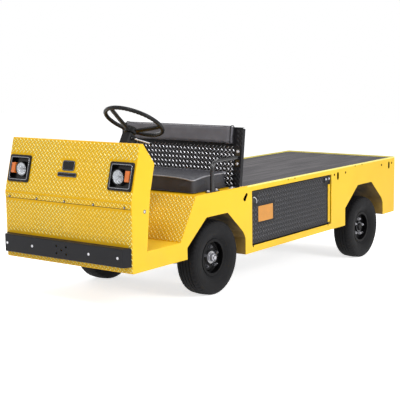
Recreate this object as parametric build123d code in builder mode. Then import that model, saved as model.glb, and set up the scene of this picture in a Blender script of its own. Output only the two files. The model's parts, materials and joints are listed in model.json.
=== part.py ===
from build123d import *
import math
import os

# Flat-deck electric burden carrier. Everything is drawn level, in the body's own frame:
# X forward with 0 at the front hubs, Y left with 0 at the middle, Z up with 0 at the lower
# edge of the side panels. The last section stands it on its tyres, nose slightly down.

# Stance and wheels
wheelbase = 1900
front_hub_z = 31
rear_hub_z = -58
track = 836
tyre_radius = 232.5
tyre_width = 145
rim_radius = 101.5
rim_width = 95
rim_lip = 12.5
rim_gauge = 4
disc_gauge = 6
disc_out = 18
nut_ring_r = 80
barrel_r = 42
barrel_out = 30
drum_neck_r = 66
steer_lock = 26

# Body shell
body_width = 990
sheet = 3
bend = 5
deck_z = 438
deck_recess = 10
deck_thickness = 12
rear_overhang = 496
tail_x = -wheelbase - rear_overhang
nose_x = 788
nose_bottom_z = 73
seam_z = 434
brow_z = 467
flange_lap = 3
cowl_z = 784
cowl_front_x = 708
cowl_rear_x = 679
dash_x = 586
dash_z = 667
cowl_knee = (628, 500)
sill_z = 181
sill_front_x = 663
sill_rear_x = 359
seat_front_x = 205
seat_back_x = -240
return_flange = 22

# Wheel arches: place along X, lower edge ahead and behind, shoulder and crown heights
# and their half widths, all in the body's frame
arch_half = 302
crown_half = 110
arch_bevel = (24, 42)
arch_gauge = 2
arch_liner_width = 242
arch_step = 8
front_arch_heights = (296, 142)
rear_arch_heights = (278, 127)
front_arch_shift = -4
rear_arch_shift = 1

# Battery doors
door_front_x = -380
door_to_hub = 506
door_rear_x = -wheelbase + door_to_hub
door_bottom_z = 44
door_top_z = 399
door_gap = 7
door_inset = 12
door_depth = 20
hinge_back = 18
hinge_pin_r = 5
hinge_block = (32, 28, 8)
strap = (78, 44, 4)

# Seat
cushion_depth = 365
cushion_height = 106
cushion_inset = 50
cushion_back_gap = 40
seat_back_height = 370
seat_back_lean = 7.2
seat_back_flange = 28
pad_thickness = 42
pad_height = 124
pad_inset = 59
pad_top = 384
restraint_inset = 25
restraint_tube = 25
restraint_x = 12
restraint_rise = 184
restraint_bend = 62

# Front
bumper_inset = 6
bumper_flare = 26
bumper_bottom_z = 112
bumper_top_z = 218
bumper_depth = 48
bumper_gauge = 5
bumper_hole_r = 6.5
bumper_pattern = (76, 42)
bumper_pattern_z = 165
lamp_size = (175, 162)
lamp_inset = 97
lamp_rise = 143
lamp_corner = 14
pod_depth = 34
well_depth = 18
pod_wall = 3
bezel_proud = 8
bezel_rim = 16
headlamp_r = 39
headlamp_place = (-18, 138, 8)
headlamp_dome = 9
collar_wall = 6
turn_size = (32, 62)
turn_place = (48, 145)
turn_proud = 12

# Steering, measured down the column from the middle of the wheel's rim
wheel_place = (432, 882)
driver_inset = 274
column_rake = 30.7
rim_circle_r = 174
rim_grip_r = 12
hub_drop = 55
hub_r = 36
hub_height = 34
spoke_width = 26
spoke_gauge = 10
spoke_turns = (15, 135, 255)
column_top = 84
column_bottom = 322
column_r = 19
shroud = (66, 60, 96)
lever_reach = (-62, 96, -34)
lever_r = 4
lever_ball_r = 9
cheek_dash_z = (688, 745)
cheek_depth = (150, 235)
cheek_gauge = 4
shaft_r = 8
shaft_overlap = 40
fit = 0.05
gear_x = 650
pitman_z = 84
gear_box = (92, 128, 14)
gear_box_y = 262
shaft_foot_y = 236
sector_r = 10
gear_foot = (20, 100, 12)
pedal_offsets = ((-172, 62), (-84, 84))
pedal_height = 96
pedal_gauge = 8

# Front axle and its linkage
kingpin_y = 305
kingpin_r = 10
eye_r = 26
eye_height = 56
ear_thickness = 16
ear_gap = 1
beam = (50, 44)
spindle_r = 14
tie_arm = 110
drag_arm = 95
arm_width = 26
arm_thickness = 12
stud_r = 6
stud_drop = 26
rod_r = 8
rod_eye_r = 15
rod_eye_height = 14

# Chassis
rail_inner_y = 140
rail_width = 50
rail_height = 70
rail_gauge = 5
rail_front_x = 740
rail_front_top = sill_z - sheet
rail_mid_top = door_bottom_z - sheet
rail_rear_top = 150
kick = 70
spring_width = 45
spring_half = (262, 340)
spring_thickness = 21
leaf_share = (1, 0.74, 0.46)
axle_tube_r = 38
diff_r = 92
motor_r = 88
motor_length = 300
drum_r = 88
hitch_z = 84
hitch_gap = 34
hitch_plate = 10
hitch_reach = 74
hitch_pin_r = 10.5

# Battery space, deck bearers and tail lamps
battery_end_gap = 137
battery_width = 540
battery_height = 280
bearer = (40, 14)
tail_lamp_r = 50
tail_lamp_depth = 14
tail_lamp_inset = 70
tail_lamp_z = 190

# Slots and bolt holes of the load racks, ahead of the tail or behind the battery opening
slot_z = 378
slot_size = (48, 12)
rack_hole_z = 391
rack_hole_r = 5
side_hook_size = (58, 20)
side_hook_place = (-308, 369)

half = body_width / 2
inside = half - sheet
hub_y = track / 2
rear_x = -wheelbase
lamp_y = half - lamp_inset
wheel_centre = (wheel_place[0], half - driver_inset, wheel_place[1])
restraint_y = half - restraint_inset
arch_inner_y = inside - arch_liner_width
door_middle_x = (door_front_x + door_rear_x) / 2
door_middle_z = (door_bottom_z + door_top_z) / 2
deck_top = deck_z - deck_recess
deck_bottom = deck_top - deck_thickness
pitch = math.degrees(math.atan2(front_hub_z - rear_hub_z, wheelbase))
pieces = []


def across(y):
    # plane that looks along the body from its left: local x is X, local y is Z, out is -Y
    return Plane(origin=(0, y, 0), x_dir=(1, 0, 0), z_dir=(0, -1, 0))


def keep(piece, name):
    piece.part.label = name
    pieces.append(piece.part)


def folded_sheet(path, gauge, from_y, to_y, side=Side.LEFT, radius=bend):
    # a sheet bent along an open path in the XZ plane, its gauge laid off to one side
    with BuildSketch(across(from_y)) as section:
        with BuildLine():
            FilletPolyline(*path, radius=radius)
            offset(amount=gauge, side=side)
        make_face()
    extrude(section.sketch, amount=from_y - to_y)


def end_cap(x, low, high):
    # carries a cross panel out over the edges of the side panels
    with BuildSketch(Plane.YZ.offset(x)) as face:
        with Locations((0, (low + high) / 2)):
            Rectangle(body_width, high - low)
    extrude(face.sketch, amount=sheet)


def mirrored(source, name):
    with BuildPart() as twin:
        mirror(source.part, about=Plane.XZ)
    keep(twin, name)
    return twin


def arch_path(centre_x, crown_z, shoulder_z, front_z, rear_z):
    # the cut-out over a wheel, from its front lower corner over the crown to the rear one
    return [
        (centre_x + arch_half, front_z),
        (centre_x + arch_half, shoulder_z),
        (centre_x + crown_half, crown_z),
        (centre_x - crown_half, crown_z),
        (centre_x - arch_half + arch_bevel[0], shoulder_z + arch_step),
        (centre_x - arch_half, shoulder_z - arch_bevel[1] + arch_step),
        (centre_x - arch_half, rear_z),
    ]


front_arch = arch_path(front_arch_shift, *front_arch_heights, nose_bottom_z, 0)
rear_arch = arch_path(rear_x + rear_arch_shift, *rear_arch_heights, 0, 0)

# Slope of the brow, between the flange over the seam and the cowl's top
brow_run = nose_x + flange_lap - cowl_front_x
brow_rise = cowl_z - brow_z
brow_length = math.hypot(brow_run, brow_rise)
brow = Plane(
    origin=(nose_x + flange_lap, 0, brow_z),
    x_dir=(0, 1, 0),
    z_dir=(brow_rise / brow_length, 0, brow_run / brow_length),
)



def behind_brow(x=None, z=None):
    # point on the back of the leaning sheet, at a given X or at a given Z
    foot = brow.origin - brow.z_dir * sheet
    slope = brow_run / brow_rise
    if z is None:
        z = foot.Z + (foot.X - x) / slope
    return (foot.X - (z - foot.Z) * slope, z)


# Side panel: one sheet from the cowl to the tail
with BuildPart() as side_panel_left:
    with BuildSketch(across(half)):
        with BuildLine():
            Polyline(
                (nose_x - sheet, nose_bottom_z),
                behind_brow(x=nose_x - sheet),
                behind_brow(z=cowl_z - sheet - bend / 2),
                (behind_brow(z=cowl_z - sheet)[0] - bend / 2, cowl_z - sheet),
                (cowl_rear_x, cowl_z - sheet),
                (dash_x, dash_z),
                cowl_knee,
                (sill_front_x, sill_z),
                (sill_rear_x, sill_z),
                (seat_front_x, deck_z),
                (tail_x + sheet, deck_z),
                (tail_x + sheet, 0),
                *rear_arch[::-1],
                *front_arch[::-1],
                close=True,
            )
        make_face()
        # battery opening
        with Locations((door_middle_x, door_middle_z)):
            Rectangle(door_front_x - door_rear_x, door_top_z - door_bottom_z, mode=Mode.SUBTRACT)
        with Locations((door_rear_x - 93, slot_z), (tail_x + 99, slot_z)):
            SlotOverall(*slot_size, rotation=90, mode=Mode.SUBTRACT)
        rack_hole_x = (door_rear_x - 42, rear_x + 300, rear_x - 272, tail_x + 52)
        with Locations(*[(x, rack_hole_z) for x in rack_hole_x]):
            Circle(rack_hole_r, mode=Mode.SUBTRACT)
        with Locations(side_hook_place):
            SlotOverall(*side_hook_size, rotation=50, mode=Mode.SUBTRACT)
    extrude(amount=sheet)
    # returns along the lower edges
    for start, end, low in [
        (nose_x - return_flange, front_arch[0][0], nose_bottom_z),
        (front_arch[-1][0], rear_arch[0][0], 0),
        (rear_arch[-1][0], tail_x + return_flange, 0),
    ]:
        with BuildSketch(Plane.XY.offset(low)):
            with Locations(((start + end) / 2, half - return_flange / 2)):
                Rectangle(start - end - 4 * arch_gauge, return_flange)
        extrude(amount=sheet)
keep(side_panel_left, "side_panel_left")
side_panel_right = mirrored(side_panel_left, "side_panel_right")

# Brow: top flange, leaning face and the flange that laps the lower panel
with BuildPart() as front_panel_upper:
    folded_sheet(
        [
            (cowl_rear_x, cowl_z),
            (cowl_front_x, cowl_z),
            (nose_x + flange_lap, brow_z),
            (nose_x + flange_lap, seam_z),
        ],
        sheet,
        half,
        -half,
        Side.RIGHT,
    )
    with BuildSketch(brow):
        with Locations((lamp_y, lamp_rise), (-lamp_y, lamp_rise)):
            RectangleRounded(lamp_size[0] - 2 * bezel_rim, lamp_size[1] - 2 * bezel_rim, lamp_corner / 2)
    extrude(amount=2 * sheet, both=True, mode=Mode.SUBTRACT)
keep(front_panel_upper, "front_panel_upper")

with BuildPart() as front_panel_lower:
    folded_sheet(
        [(nose_x, brow_z - 4), (nose_x, nose_bottom_z), (nose_x - return_flange, nose_bottom_z)],
        sheet,
        inside,
        -inside,
        Side.RIGHT,
    )
    end_cap(nose_x - sheet, nose_bottom_z + bend, brow_z - 4)
keep(front_panel_lower, "front_panel_lower")

# Bumper: pressed channel, open to the rear, whose closed ends spread towards the body
with BuildPart() as front_bumper:
    for inset, mode in ((0, Mode.ADD), (bumper_gauge, Mode.SUBTRACT)):
        foot_y = half - bumper_inset - inset
        face_y = foot_y - bumper_flare
        with BuildSketch(Plane.XY.offset(bumper_bottom_z + inset)):
            Polygon(
                (nose_x, foot_y),
                (nose_x + bumper_depth - inset, face_y),
                (nose_x + bumper_depth - inset, -face_y),
                (nose_x, -foot_y),
                align=None,
            )
        extrude(amount=bumper_top_z - bumper_bottom_z - 2 * inset, mode=mode)
        if inset == 0:
            fillet(front_bumper.faces().sort_by(Axis.X)[-1].edges(), bend)
    with BuildSketch(Plane.YZ.offset(nose_x + bumper_depth)):
        with Locations((0, bumper_pattern_z)):
            with GridLocations(bumper_pattern[0], bumper_pattern[1], 2, 2):
                Circle(bumper_hole_r)
            Circle(bumper_hole_r)
    extrude(amount=2 * bumper_gauge, both=True, mode=Mode.SUBTRACT)
keep(front_bumper, "front_bumper")

# Lamps: a moulded pod with a round headlamp in a collar inboard and a tall turn lens outboard.
# The headlamps are aimed level with the ground, so they lean out of the brow's slope.
lamp_aim = Vector(math.cos(math.radians(pitch)), 0, math.sin(math.radians(pitch)))
lamp_spots = [(lamp_y, lamp_rise), (-lamp_y, lamp_rise)]
pod_size = [size - 2 * bezel_rim - 1 for size in lamp_size]
collar_planes = [
    Plane(
        origin=brow.from_local_coords((side * (lamp_y + headlamp_place[0]), *headlamp_place[1:])),
        x_dir=(0, 1, 0),
        z_dir=lamp_aim,
    )
    for side in (1, -1)
]
turn_spots = [(side * (lamp_y + turn_place[0]), turn_place[1]) for side in (1, -1)]
with BuildPart() as lamp_bezels:
    with BuildSketch(brow):
        with Locations(*lamp_spots):
            RectangleRounded(*lamp_size, lamp_corner)
    extrude(amount=bezel_proud)
    fillet(lamp_bezels.faces().sort_by(Axis(brow.origin, brow.z_dir))[-2:].edges(), bezel_proud / 2)
    with BuildSketch(brow):
        with Locations(*lamp_spots):
            RectangleRounded(*pod_size, lamp_corner / 2)
    extrude(amount=-pod_depth)
    with BuildSketch(brow.offset(bezel_proud)):
        with Locations(*lamp_spots):
            RectangleRounded(pod_size[0] - 2 * pod_wall, pod_size[1] - 2 * pod_wall, lamp_corner / 2)
    extrude(amount=-bezel_proud - well_depth, mode=Mode.SUBTRACT)
    for plane in collar_planes:
        with BuildSketch(plane.offset(-well_depth - headlamp_place[2])):
            Circle(headlamp_r + collar_wall)
        extrude(amount=well_depth + headlamp_place[2])
        with BuildSketch(plane):
            Circle(headlamp_r + fit)
        extrude(amount=-well_depth, mode=Mode.SUBTRACT)
keep(lamp_bezels, "lamp_bezels")

dome_r = (headlamp_r**2 + headlamp_dome**2) / (2 * headlamp_dome)
dome_middle = headlamp_dome - dome_r + math.sqrt(dome_r**2 - headlamp_r**2 / 4)
with BuildPart() as headlamp_lenses:
    for plane in collar_planes:
        with BuildSketch(Plane(origin=plane.origin, x_dir=plane.z_dir, z_dir=(0, -1, 0))):
            with BuildLine():
                Polyline((headlamp_dome, 0), (-well_depth, 0), (-well_depth, headlamp_r), (0, headlamp_r))
                ThreePointArc((0, headlamp_r), (dome_middle, headlamp_r / 2), (headlamp_dome, 0))
            make_face()
        revolve(axis=Axis(plane.origin, plane.z_dir))
keep(headlamp_lenses, "headlamp_lenses")

with BuildPart() as turn_lenses:
    with BuildSketch(brow.offset(-well_depth)):
        with Locations(*turn_spots):
            RectangleRounded(*turn_size, 6)
    extrude(amount=well_depth + turn_proud)
    fillet(turn_lenses.faces().sort_by(Axis(brow.origin, brow.z_dir))[-2:].edges(), 4)
keep(turn_lenses, "turn_lenses")

# Dash behind the cowl, folded under at its lower edge
with BuildPart() as dash_panel:
    folded_sheet(
        [
            (cowl_rear_x + 10, cowl_z - sheet),
            (cowl_rear_x - 2, cowl_z - sheet),
            (dash_x, dash_z),
            (dash_x + 34, dash_z - 26),
        ],
        sheet,
        inside,
        -inside,
    )
keep(dash_panel, "dash_panel")

with BuildPart() as floor_pan:
    with BuildSketch(Plane.XY.offset(sill_z)):
        with Locations(((nose_x - sheet + sill_rear_x) / 2, 0)):
            Rectangle(nose_x - sheet - sill_rear_x, 2 * inside)
        with Locations((gear_x + 5, shaft_foot_y)):
            Circle(22, mode=Mode.SUBTRACT)
    extrude(amount=-sheet)
keep(floor_pan, "floor_pan")

# Seat box: leaning front and flat top
with BuildPart() as seat_base:
    folded_sheet(
        [(sill_rear_x, sill_z), (seat_front_x, deck_z), (seat_back_x - 60, deck_z)],
        sheet,
        inside,
        -inside,
        Side.LEFT,
    )
keep(seat_base, "seat_base")

with BuildPart() as seat_cushion:
    with BuildSketch(Plane.XY.offset(deck_z)):
        with Locations((seat_back_x + cushion_back_gap + cushion_depth / 2, 0)):
            RectangleRounded(cushion_depth, 2 * (half - cushion_inset), 30)
    extrude(amount=cushion_height)
    fillet(seat_cushion.faces().sort_by(Axis.Z)[-1].edges(), 20)
keep(seat_cushion, "seat_cushion")

# Back plate: leans back, its sides and top turned rearwards and its foot turned forwards
seat_back_top = (
    seat_back_x - seat_back_height * math.tan(math.radians(seat_back_lean)),
    deck_z + seat_back_height,
)
seat_back_plane = Plane(
    origin=(seat_back_x, 0, deck_z),
    x_dir=(0, 1, 0),
    z_dir=(math.cos(math.radians(seat_back_lean)), 0, math.sin(math.radians(seat_back_lean))),
)
seat_back_slant = seat_back_height / math.cos(math.radians(seat_back_lean))
with BuildPart() as seat_back_panel:
    folded_sheet(
        [
            (seat_back_top[0] - 16, seat_back_top[1]),
            seat_back_top,
            (seat_back_x - sheet * math.tan(math.radians(seat_back_lean)), deck_z + sheet),
            (seat_back_x + 34, deck_z + sheet),
        ],
        sheet,
        half,
        -half,
        Side.RIGHT,
    )
    with BuildSketch(seat_back_plane):
        with Locations((half - sheet / 2, seat_back_slant / 2), (-half + sheet / 2, seat_back_slant / 2)):
            Rectangle(sheet, seat_back_slant - 12)
    extrude(amount=-seat_back_flange)
keep(seat_back_panel, "seat_back_panel")

with BuildPart() as backrest_pad:
    with BuildSketch(seat_back_plane):
        with Locations((0, pad_top - pad_height / 2)):
            RectangleRounded(2 * (half - pad_inset), pad_height, 18)
    extrude(amount=pad_thickness)
    fillet(backrest_pad.faces().sort_by(Axis(seat_back_plane.origin, seat_back_plane.z_dir))[-1].edges(), 12)
keep(backrest_pad, "backrest_pad")

# Hip restraint: bent tube from a foot on the seat box to an end plate on the back plate
restraint_end_x = seat_back_x - restraint_rise * math.tan(math.radians(seat_back_lean))
with BuildPart() as hip_restraints:
    with BuildLine() as restraint_path:
        FilletPolyline(
            (restraint_x, restraint_y, deck_z + 5),
            (restraint_x, restraint_y, deck_z + restraint_rise),
            (restraint_end_x + 4, restraint_y, deck_z + restraint_rise),
            radius=restraint_bend,
        )
    with BuildSketch(Plane(origin=restraint_path.line @ 0, z_dir=(0, 0, 1))):
        Circle(restraint_tube / 2)
    sweep(path=restraint_path.line)
    with BuildSketch(Plane.XY.offset(deck_z)):
        with Locations((restraint_x, restraint_y)):
            Rectangle(112, 30)
            with Locations((-42, 0), (42, 0)):
                Circle(5, mode=Mode.SUBTRACT)
    extrude(amount=5)
    with BuildSketch(seat_back_plane):
        with Locations((restraint_y, restraint_rise)):
            Rectangle(32, 110)
    extrude(amount=4)
    mirror(about=Plane.XZ)
keep(hip_restraints, "hip_restraints")

# Load deck, sunk inside the rim that the panels' upper edges make
with BuildPart() as deck_plate:
    with BuildSketch(Plane.XY.offset(deck_bottom)):
        with Locations(((seat_back_x - 60 + tail_x + sheet) / 2, 0)):
            Rectangle(seat_back_x - 60 - tail_x - sheet, 2 * inside)
    extrude(amount=deck_thickness)
keep(deck_plate, "deck_plate")

with BuildPart() as rear_panel:
    folded_sheet(
        [(tail_x + return_flange, 0), (tail_x, 0), (tail_x, deck_z)],
        sheet,
        inside,
        -inside,
        Side.RIGHT,
    )
    end_cap(tail_x, bend, deck_z)
keep(rear_panel, "rear_panel")

with BuildPart() as tail_lamps:
    with BuildSketch(Plane.YZ.offset(tail_x)):
        with Locations((half - tail_lamp_inset, tail_lamp_z), (tail_lamp_inset - half, tail_lamp_z)):
            Circle(tail_lamp_r)
    extrude(amount=-tail_lamp_depth)
    fillet(tail_lamps.faces().sort_by(Axis.X)[:2].edges(), 5)
keep(tail_lamps, "tail_lamps")

# Liners over the wheels, following the cut-outs
with BuildPart() as wheel_arches:
    for path in (front_arch, rear_arch):
        folded_sheet(path, arch_gauge, inside, arch_inner_y, Side.RIGHT, 4)
    mirror(about=Plane.XZ)
keep(wheel_arches, "wheel_arches")

# Battery door: a shallow pan hung on pins at its rear edge, a strap across the upper corner
door_length = door_front_x - door_rear_x - 2 * door_gap
door_height = door_top_z - door_bottom_z - 2 * door_gap
door_face_y = half - door_inset
hinge_x = door_rear_x + hinge_back
hinge_y = door_face_y - door_gap
with BuildPart() as battery_door_left:
    with BuildSketch(across(door_face_y)):
        with Locations((door_middle_x, door_middle_z)):
            Rectangle(door_length, door_height)
    extrude(amount=door_depth)
    with BuildSketch(across(door_face_y - sheet)):
        with Locations((door_middle_x, door_middle_z)):
            Rectangle(door_length - 2 * sheet, door_height - 2 * sheet)
    extrude(amount=door_depth, mode=Mode.SUBTRACT)
    with BuildSketch(across(door_face_y)):
        with Locations((door_rear_x + door_gap + strap[0] / 2, door_top_z - door_gap - strap[1] / 2)):
            Rectangle(strap[0], strap[1])
    extrude(amount=-strap[2])
    with BuildSketch(Plane.XY.offset(door_bottom_z)):
        with Locations((hinge_x, hinge_y)):
            Circle(hinge_pin_r + fit)
    extrude(amount=door_top_z - door_bottom_z, mode=Mode.SUBTRACT)
keep(battery_door_left, "battery_door_left")
battery_door_right = mirrored(battery_door_left, "battery_door_right")

with BuildPart() as door_hinges:
    for z, up in ((door_top_z + 1, 1), (door_bottom_z - 1, -1)):
        with BuildSketch(Plane.XY.offset(z)):
            with Locations((hinge_x, inside - hinge_block[1] / 2)):
                Rectangle(hinge_block[0], hinge_block[1])
        extrude(amount=up * hinge_block[2])
        with BuildSketch(Plane.XY.offset(z)):
            with Locations((hinge_x, hinge_y)):
                Circle(hinge_pin_r)
        extrude(amount=-up * (door_gap + 14))
    mirror(about=Plane.XZ)
keep(door_hinges, "door_hinges")

# Battery pack, one plain block for its weight
with BuildPart() as battery_pack:
    with BuildSketch(Plane.XY.offset(rail_mid_top + sheet)):
        with Locations((door_middle_x, 0)):
            Rectangle(door_front_x - door_rear_x - 2 * battery_end_gap, battery_width)
    extrude(amount=battery_height)
keep(battery_pack, "battery_pack")

# Chassis: two channels kicked down under the battery and up over the rear axle
rail_path = [
    (rail_front_x, rail_front_top),
    (door_front_x + 14 + kick, rail_front_top),
    (door_front_x + 14, rail_mid_top),
    (door_rear_x - 16, rail_mid_top),
    (door_rear_x - 16 - kick, rail_rear_top),
    (tail_x + sheet, rail_rear_top),
]
with BuildPart() as chassis_frame:
    with BuildSketch(across(rail_inner_y + rail_width)):
        Polygon(*rail_path, *[(x, z - rail_height) for x, z in rail_path[::-1]], align=None)
    extrude(amount=rail_width)
    with BuildSketch(across(rail_inner_y + rail_width)):
        Polygon(
            *[(x, z - rail_gauge) for x, z in rail_path],
            *[(x, z - rail_height + rail_gauge) for x, z in rail_path[::-1]],
            align=None,
        )
    extrude(amount=rail_width - rail_gauge, mode=Mode.SUBTRACT)
    mirror(about=Plane.XZ)
    # cross members between the rails
    for x, top in [
        (rail_front_x - 30, rail_front_top),
        (door_front_x + 144, rail_front_top),
        (door_middle_x, rail_mid_top),
        (door_rear_x - 90, rail_rear_top),
        (tail_x + 40, rail_rear_top),
    ]:
        with BuildSketch(Plane.YZ.offset(x)):
            with Locations((0, top - rail_height / 2)):
                Rectangle(2 * rail_inner_y, rail_height - 10)
                Rectangle(2 * rail_inner_y, rail_height - 20, mode=Mode.SUBTRACT)
        extrude(amount=25, both=True)
    # tray under the batteries
    with BuildSketch(Plane.XY.offset(rail_mid_top)):
        with Locations((door_middle_x, 0)):
            Rectangle(door_front_x - door_rear_x, 2 * (door_face_y - door_depth - 6))
    extrude(amount=sheet)
keep(chassis_frame, "chassis_frame")

# Bearers under the deck and the walls at both ends of the battery space
with BuildPart() as deck_bearers:
    bearer_step = (door_front_x - door_rear_x) / 4
    between_doors = [door_middle_x + step * bearer_step for step in (-1, 0, 1)]
    for x in (door_front_x + bearer[0], *between_doors, door_rear_x - bearer[0] - 6, rear_x, tail_x + 56):
        with BuildSketch(Plane.XY.offset(deck_bottom)):
            with Locations((x, 0)):
                Rectangle(bearer[0], 2 * inside)
        extrude(amount=-bearer[1])
    for x in (door_front_x + 4, door_rear_x - 4 - sheet):
        with BuildSketch(Plane.YZ.offset(x)):
            with Locations((0, (rail_mid_top + deck_bottom) / 2)):
                Rectangle(2 * inside, deck_bottom - rail_mid_top)
        extrude(amount=sheet)
keep(deck_bearers, "deck_bearers")

# Steering column, square to the wheel's rim
rake = math.radians(column_rake)
column = Plane(
    origin=wheel_centre,
    x_dir=(0, 1, 0),
    z_dir=(-math.sin(rake), 0, math.cos(rake)),
)
column_foot = column.from_local_coords((0, 0, -column_bottom))


def dash_at(z):
    return (dash_x + (z - dash_z) * (cowl_rear_x - 2 - dash_x) / (cowl_z - sheet - dash_z), z)


def along_column(depth):
    point = column.from_local_coords((0, 0, -depth))
    return (point.X, point.Z)


with BuildPart() as steering_wheel:
    with BuildSketch(Plane(origin=column.origin, x_dir=column.z_dir, z_dir=column.y_dir)):
        with Locations((0, rim_circle_r)):
            Circle(rim_grip_r)
    revolve(axis=Axis(column.origin, column.z_dir))
    with BuildSketch(column.offset(-hub_drop - hub_height / 2)):
        Circle(hub_r)
    extrude(amount=hub_height, taper=6)
    with BuildSketch(column.offset(-column_top - shaft_overlap)):
        Circle(shaft_r)
    extrude(amount=column_top + shaft_overlap - hub_drop)
    for turn in spoke_turns:
        spoke_dir = Vector(1, 0, 0).rotate(Axis.Z, turn)
        root = column.from_local_coords(spoke_dir * (hub_r - 14) + Vector(0, 0, -hub_drop))
        tip = column.from_local_coords(spoke_dir * (rim_circle_r - 2) + Vector(0, 0, -2))
        run = tip - root
        with BuildSketch(Plane(origin=root, x_dir=column.z_dir.cross(run), z_dir=run)):
            RectangleRounded(spoke_width, spoke_gauge, spoke_gauge * 0.4)
        extrude(amount=run.length)
keep(steering_wheel, "steering_wheel")

gear_y = kingpin_y
shaft_foot = Vector(gear_x, shaft_foot_y, sill_z - 22)
with BuildPart() as steering_column:
    with BuildSketch(column.offset(-column_bottom)):
        Circle(column_r)
    extrude(amount=column_bottom - column_top)
    with BuildSketch(column.offset(-column_top)):
        RectangleRounded(shroud[0], shroud[1], 8)
    extrude(amount=-shroud[2])
    with BuildSketch(column.offset(-column_top)):
        Circle(shaft_r + fit)
    extrude(amount=-column_bottom, mode=Mode.SUBTRACT)
    # lever at the left of the shroud, ball at its end
    lever_root = column.from_local_coords((shroud[0] / 2 - 4, -6, -column_top - 24))
    lever_tip = lever_root + Vector(*lever_reach)
    with BuildSketch(Plane(origin=lever_root, z_dir=lever_tip - lever_root)):
        Circle(lever_r)
    extrude(amount=(lever_tip - lever_root).length)
    with Locations(lever_tip):
        Sphere(lever_ball_r)
    # cheeks that tie the column to the face of the dash
    cheek = [dash_at(z) for z in cheek_dash_z] + [along_column(depth) for depth in cheek_depth]
    for y in (wheel_centre[1] + column_r, wheel_centre[1] - column_r + cheek_gauge):
        with BuildSketch(across(y)):
            Polygon(*cheek, align=None)
        extrude(amount=cheek_gauge)
    # shaft down to the gear box, which stands under the floor on the left rail
    shaft_run = column_foot - shaft_foot
    with BuildSketch(Plane(origin=shaft_foot, z_dir=shaft_run)):
        Circle(9)
    extrude(amount=shaft_run.length)
    with Locations(shaft_foot + shaft_run * 0.93):
        Sphere(16)
    gear_floor = pitman_z + arm_thickness / 2 + 4
    with BuildSketch(Plane.XY.offset(gear_floor)):
        with Locations((gear_x, gear_box_y)):
            RectangleRounded(*gear_box)
    extrude(amount=sill_z - sheet - 8 - gear_floor)
    with BuildSketch(Plane.XY.offset(sill_z - sheet - gear_foot[2])):
        foot_step = gear_box[0] / 2 - gear_foot[0] * 0.3
        with Locations((gear_x - foot_step, gear_box_y), (gear_x + foot_step, gear_box_y)):
            Rectangle(gear_foot[0], gear_foot[1])
    extrude(amount=gear_foot[2])
    with BuildSketch(Plane.XY.offset(pitman_z - 2 * sector_r)):
        with Locations((gear_x, gear_y)):
            Circle(sector_r)
    extrude(amount=4 * sector_r)
keep(steering_column, "steering_column")


# Steering arms share one builder: a flat bar between two bosses
def flat_arm(start, end, mid_z):
    run = Vector(end[0] - start[0], end[1] - start[1], 0)
    with BuildSketch(Plane.XY.offset(mid_z - arm_thickness / 2)) as bar:
        with Locations(start, end):
            Circle(arm_width / 2)
        middle = ((start[0] + end[0]) / 2, (start[1] + end[1]) / 2)
        turn = math.degrees(math.atan2(run.Y, run.X))
        with Locations(Location((middle[0], middle[1], 0), (0, 0, turn))):
            Rectangle(run.length, arm_width * 0.8)
    extrude(bar.sketch, amount=arm_thickness)


def stud(at, mid_z):
    with BuildSketch(Plane.XY.offset(mid_z)) as pin:
        with Locations(at):
            Circle(stud_r)
    extrude(pin.sketch, amount=-stud_drop)


with BuildPart() as pitman_arm:
    flat_arm((gear_x, gear_y), (gear_x, gear_y - drag_arm), pitman_z)
    stud((gear_x, gear_y - drag_arm), pitman_z)
    with BuildSketch(Plane.XY.offset(pitman_z - arm_thickness)):
        with Locations((gear_x, gear_y)):
            Circle(sector_r + fit)
    extrude(amount=2 * arm_thickness, mode=Mode.SUBTRACT)
keep(pitman_arm, "pitman_arm")

# Front axle: box beam with an eye at each end for the kingpin
with BuildPart() as front_axle:
    with BuildSketch(Plane.XZ):
        with Locations((0, front_hub_z)):
            RectangleRounded(beam[0], beam[1], 6)
    extrude(amount=kingpin_y - eye_r / 2, both=True)
    with BuildSketch(Plane.XY.offset(front_hub_z - eye_height / 2)):
        with Locations((0, kingpin_y), (0, -kingpin_y)):
            Circle(eye_r)
    extrude(amount=eye_height)
    with BuildSketch(Plane.XY.offset(front_hub_z - eye_height)):
        with Locations((0, kingpin_y), (0, -kingpin_y)):
            Circle(kingpin_r + fit)
    extrude(amount=2 * eye_height, mode=Mode.SUBTRACT)
keep(front_axle, "front_axle")

# Knuckle: fork over the axle's eye, kingpin, spindle and steering arms under the lower ear
ear_top = front_hub_z + eye_height / 2 + ear_gap + ear_thickness
ear_bottom = front_hub_z - eye_height / 2 - ear_gap - ear_thickness
arm_z = ear_bottom + arm_thickness / 2
web_y = kingpin_y + eye_r + 4
web_thickness = 15
with BuildPart() as knuckle_left:
    for z in (ear_bottom, ear_top - ear_thickness):
        with BuildSketch(Plane.XY.offset(z)):
            with Locations((0, kingpin_y)):
                Circle(eye_r - 2)
            with Locations((0, (kingpin_y + web_y + web_thickness) / 2)):
                Rectangle(2 * eye_r - 4, web_y + web_thickness - kingpin_y)
        extrude(amount=ear_thickness)
    with BuildSketch(Plane.XY.offset(ear_bottom)):
        with Locations((0, web_y + web_thickness / 2)):
            Rectangle(2 * eye_r - 4, web_thickness)
    extrude(amount=ear_top - ear_bottom)
    with BuildSketch(Plane.XY.offset(ear_bottom)):
        with Locations((0, kingpin_y)):
            Circle(kingpin_r)
    extrude(amount=ear_top - ear_bottom)
    with BuildSketch(across(hub_y + 14)):
        with Locations((0, front_hub_z)):
            Circle(spindle_r)
    extrude(amount=hub_y + 14 - web_y)
    flat_arm((0, kingpin_y), (-tie_arm, kingpin_y), arm_z)
    stud((-tie_arm, kingpin_y), arm_z)
    flat_arm((0, kingpin_y), (0, kingpin_y - drag_arm), arm_z)
    stud((0, kingpin_y - drag_arm), arm_z)
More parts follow.
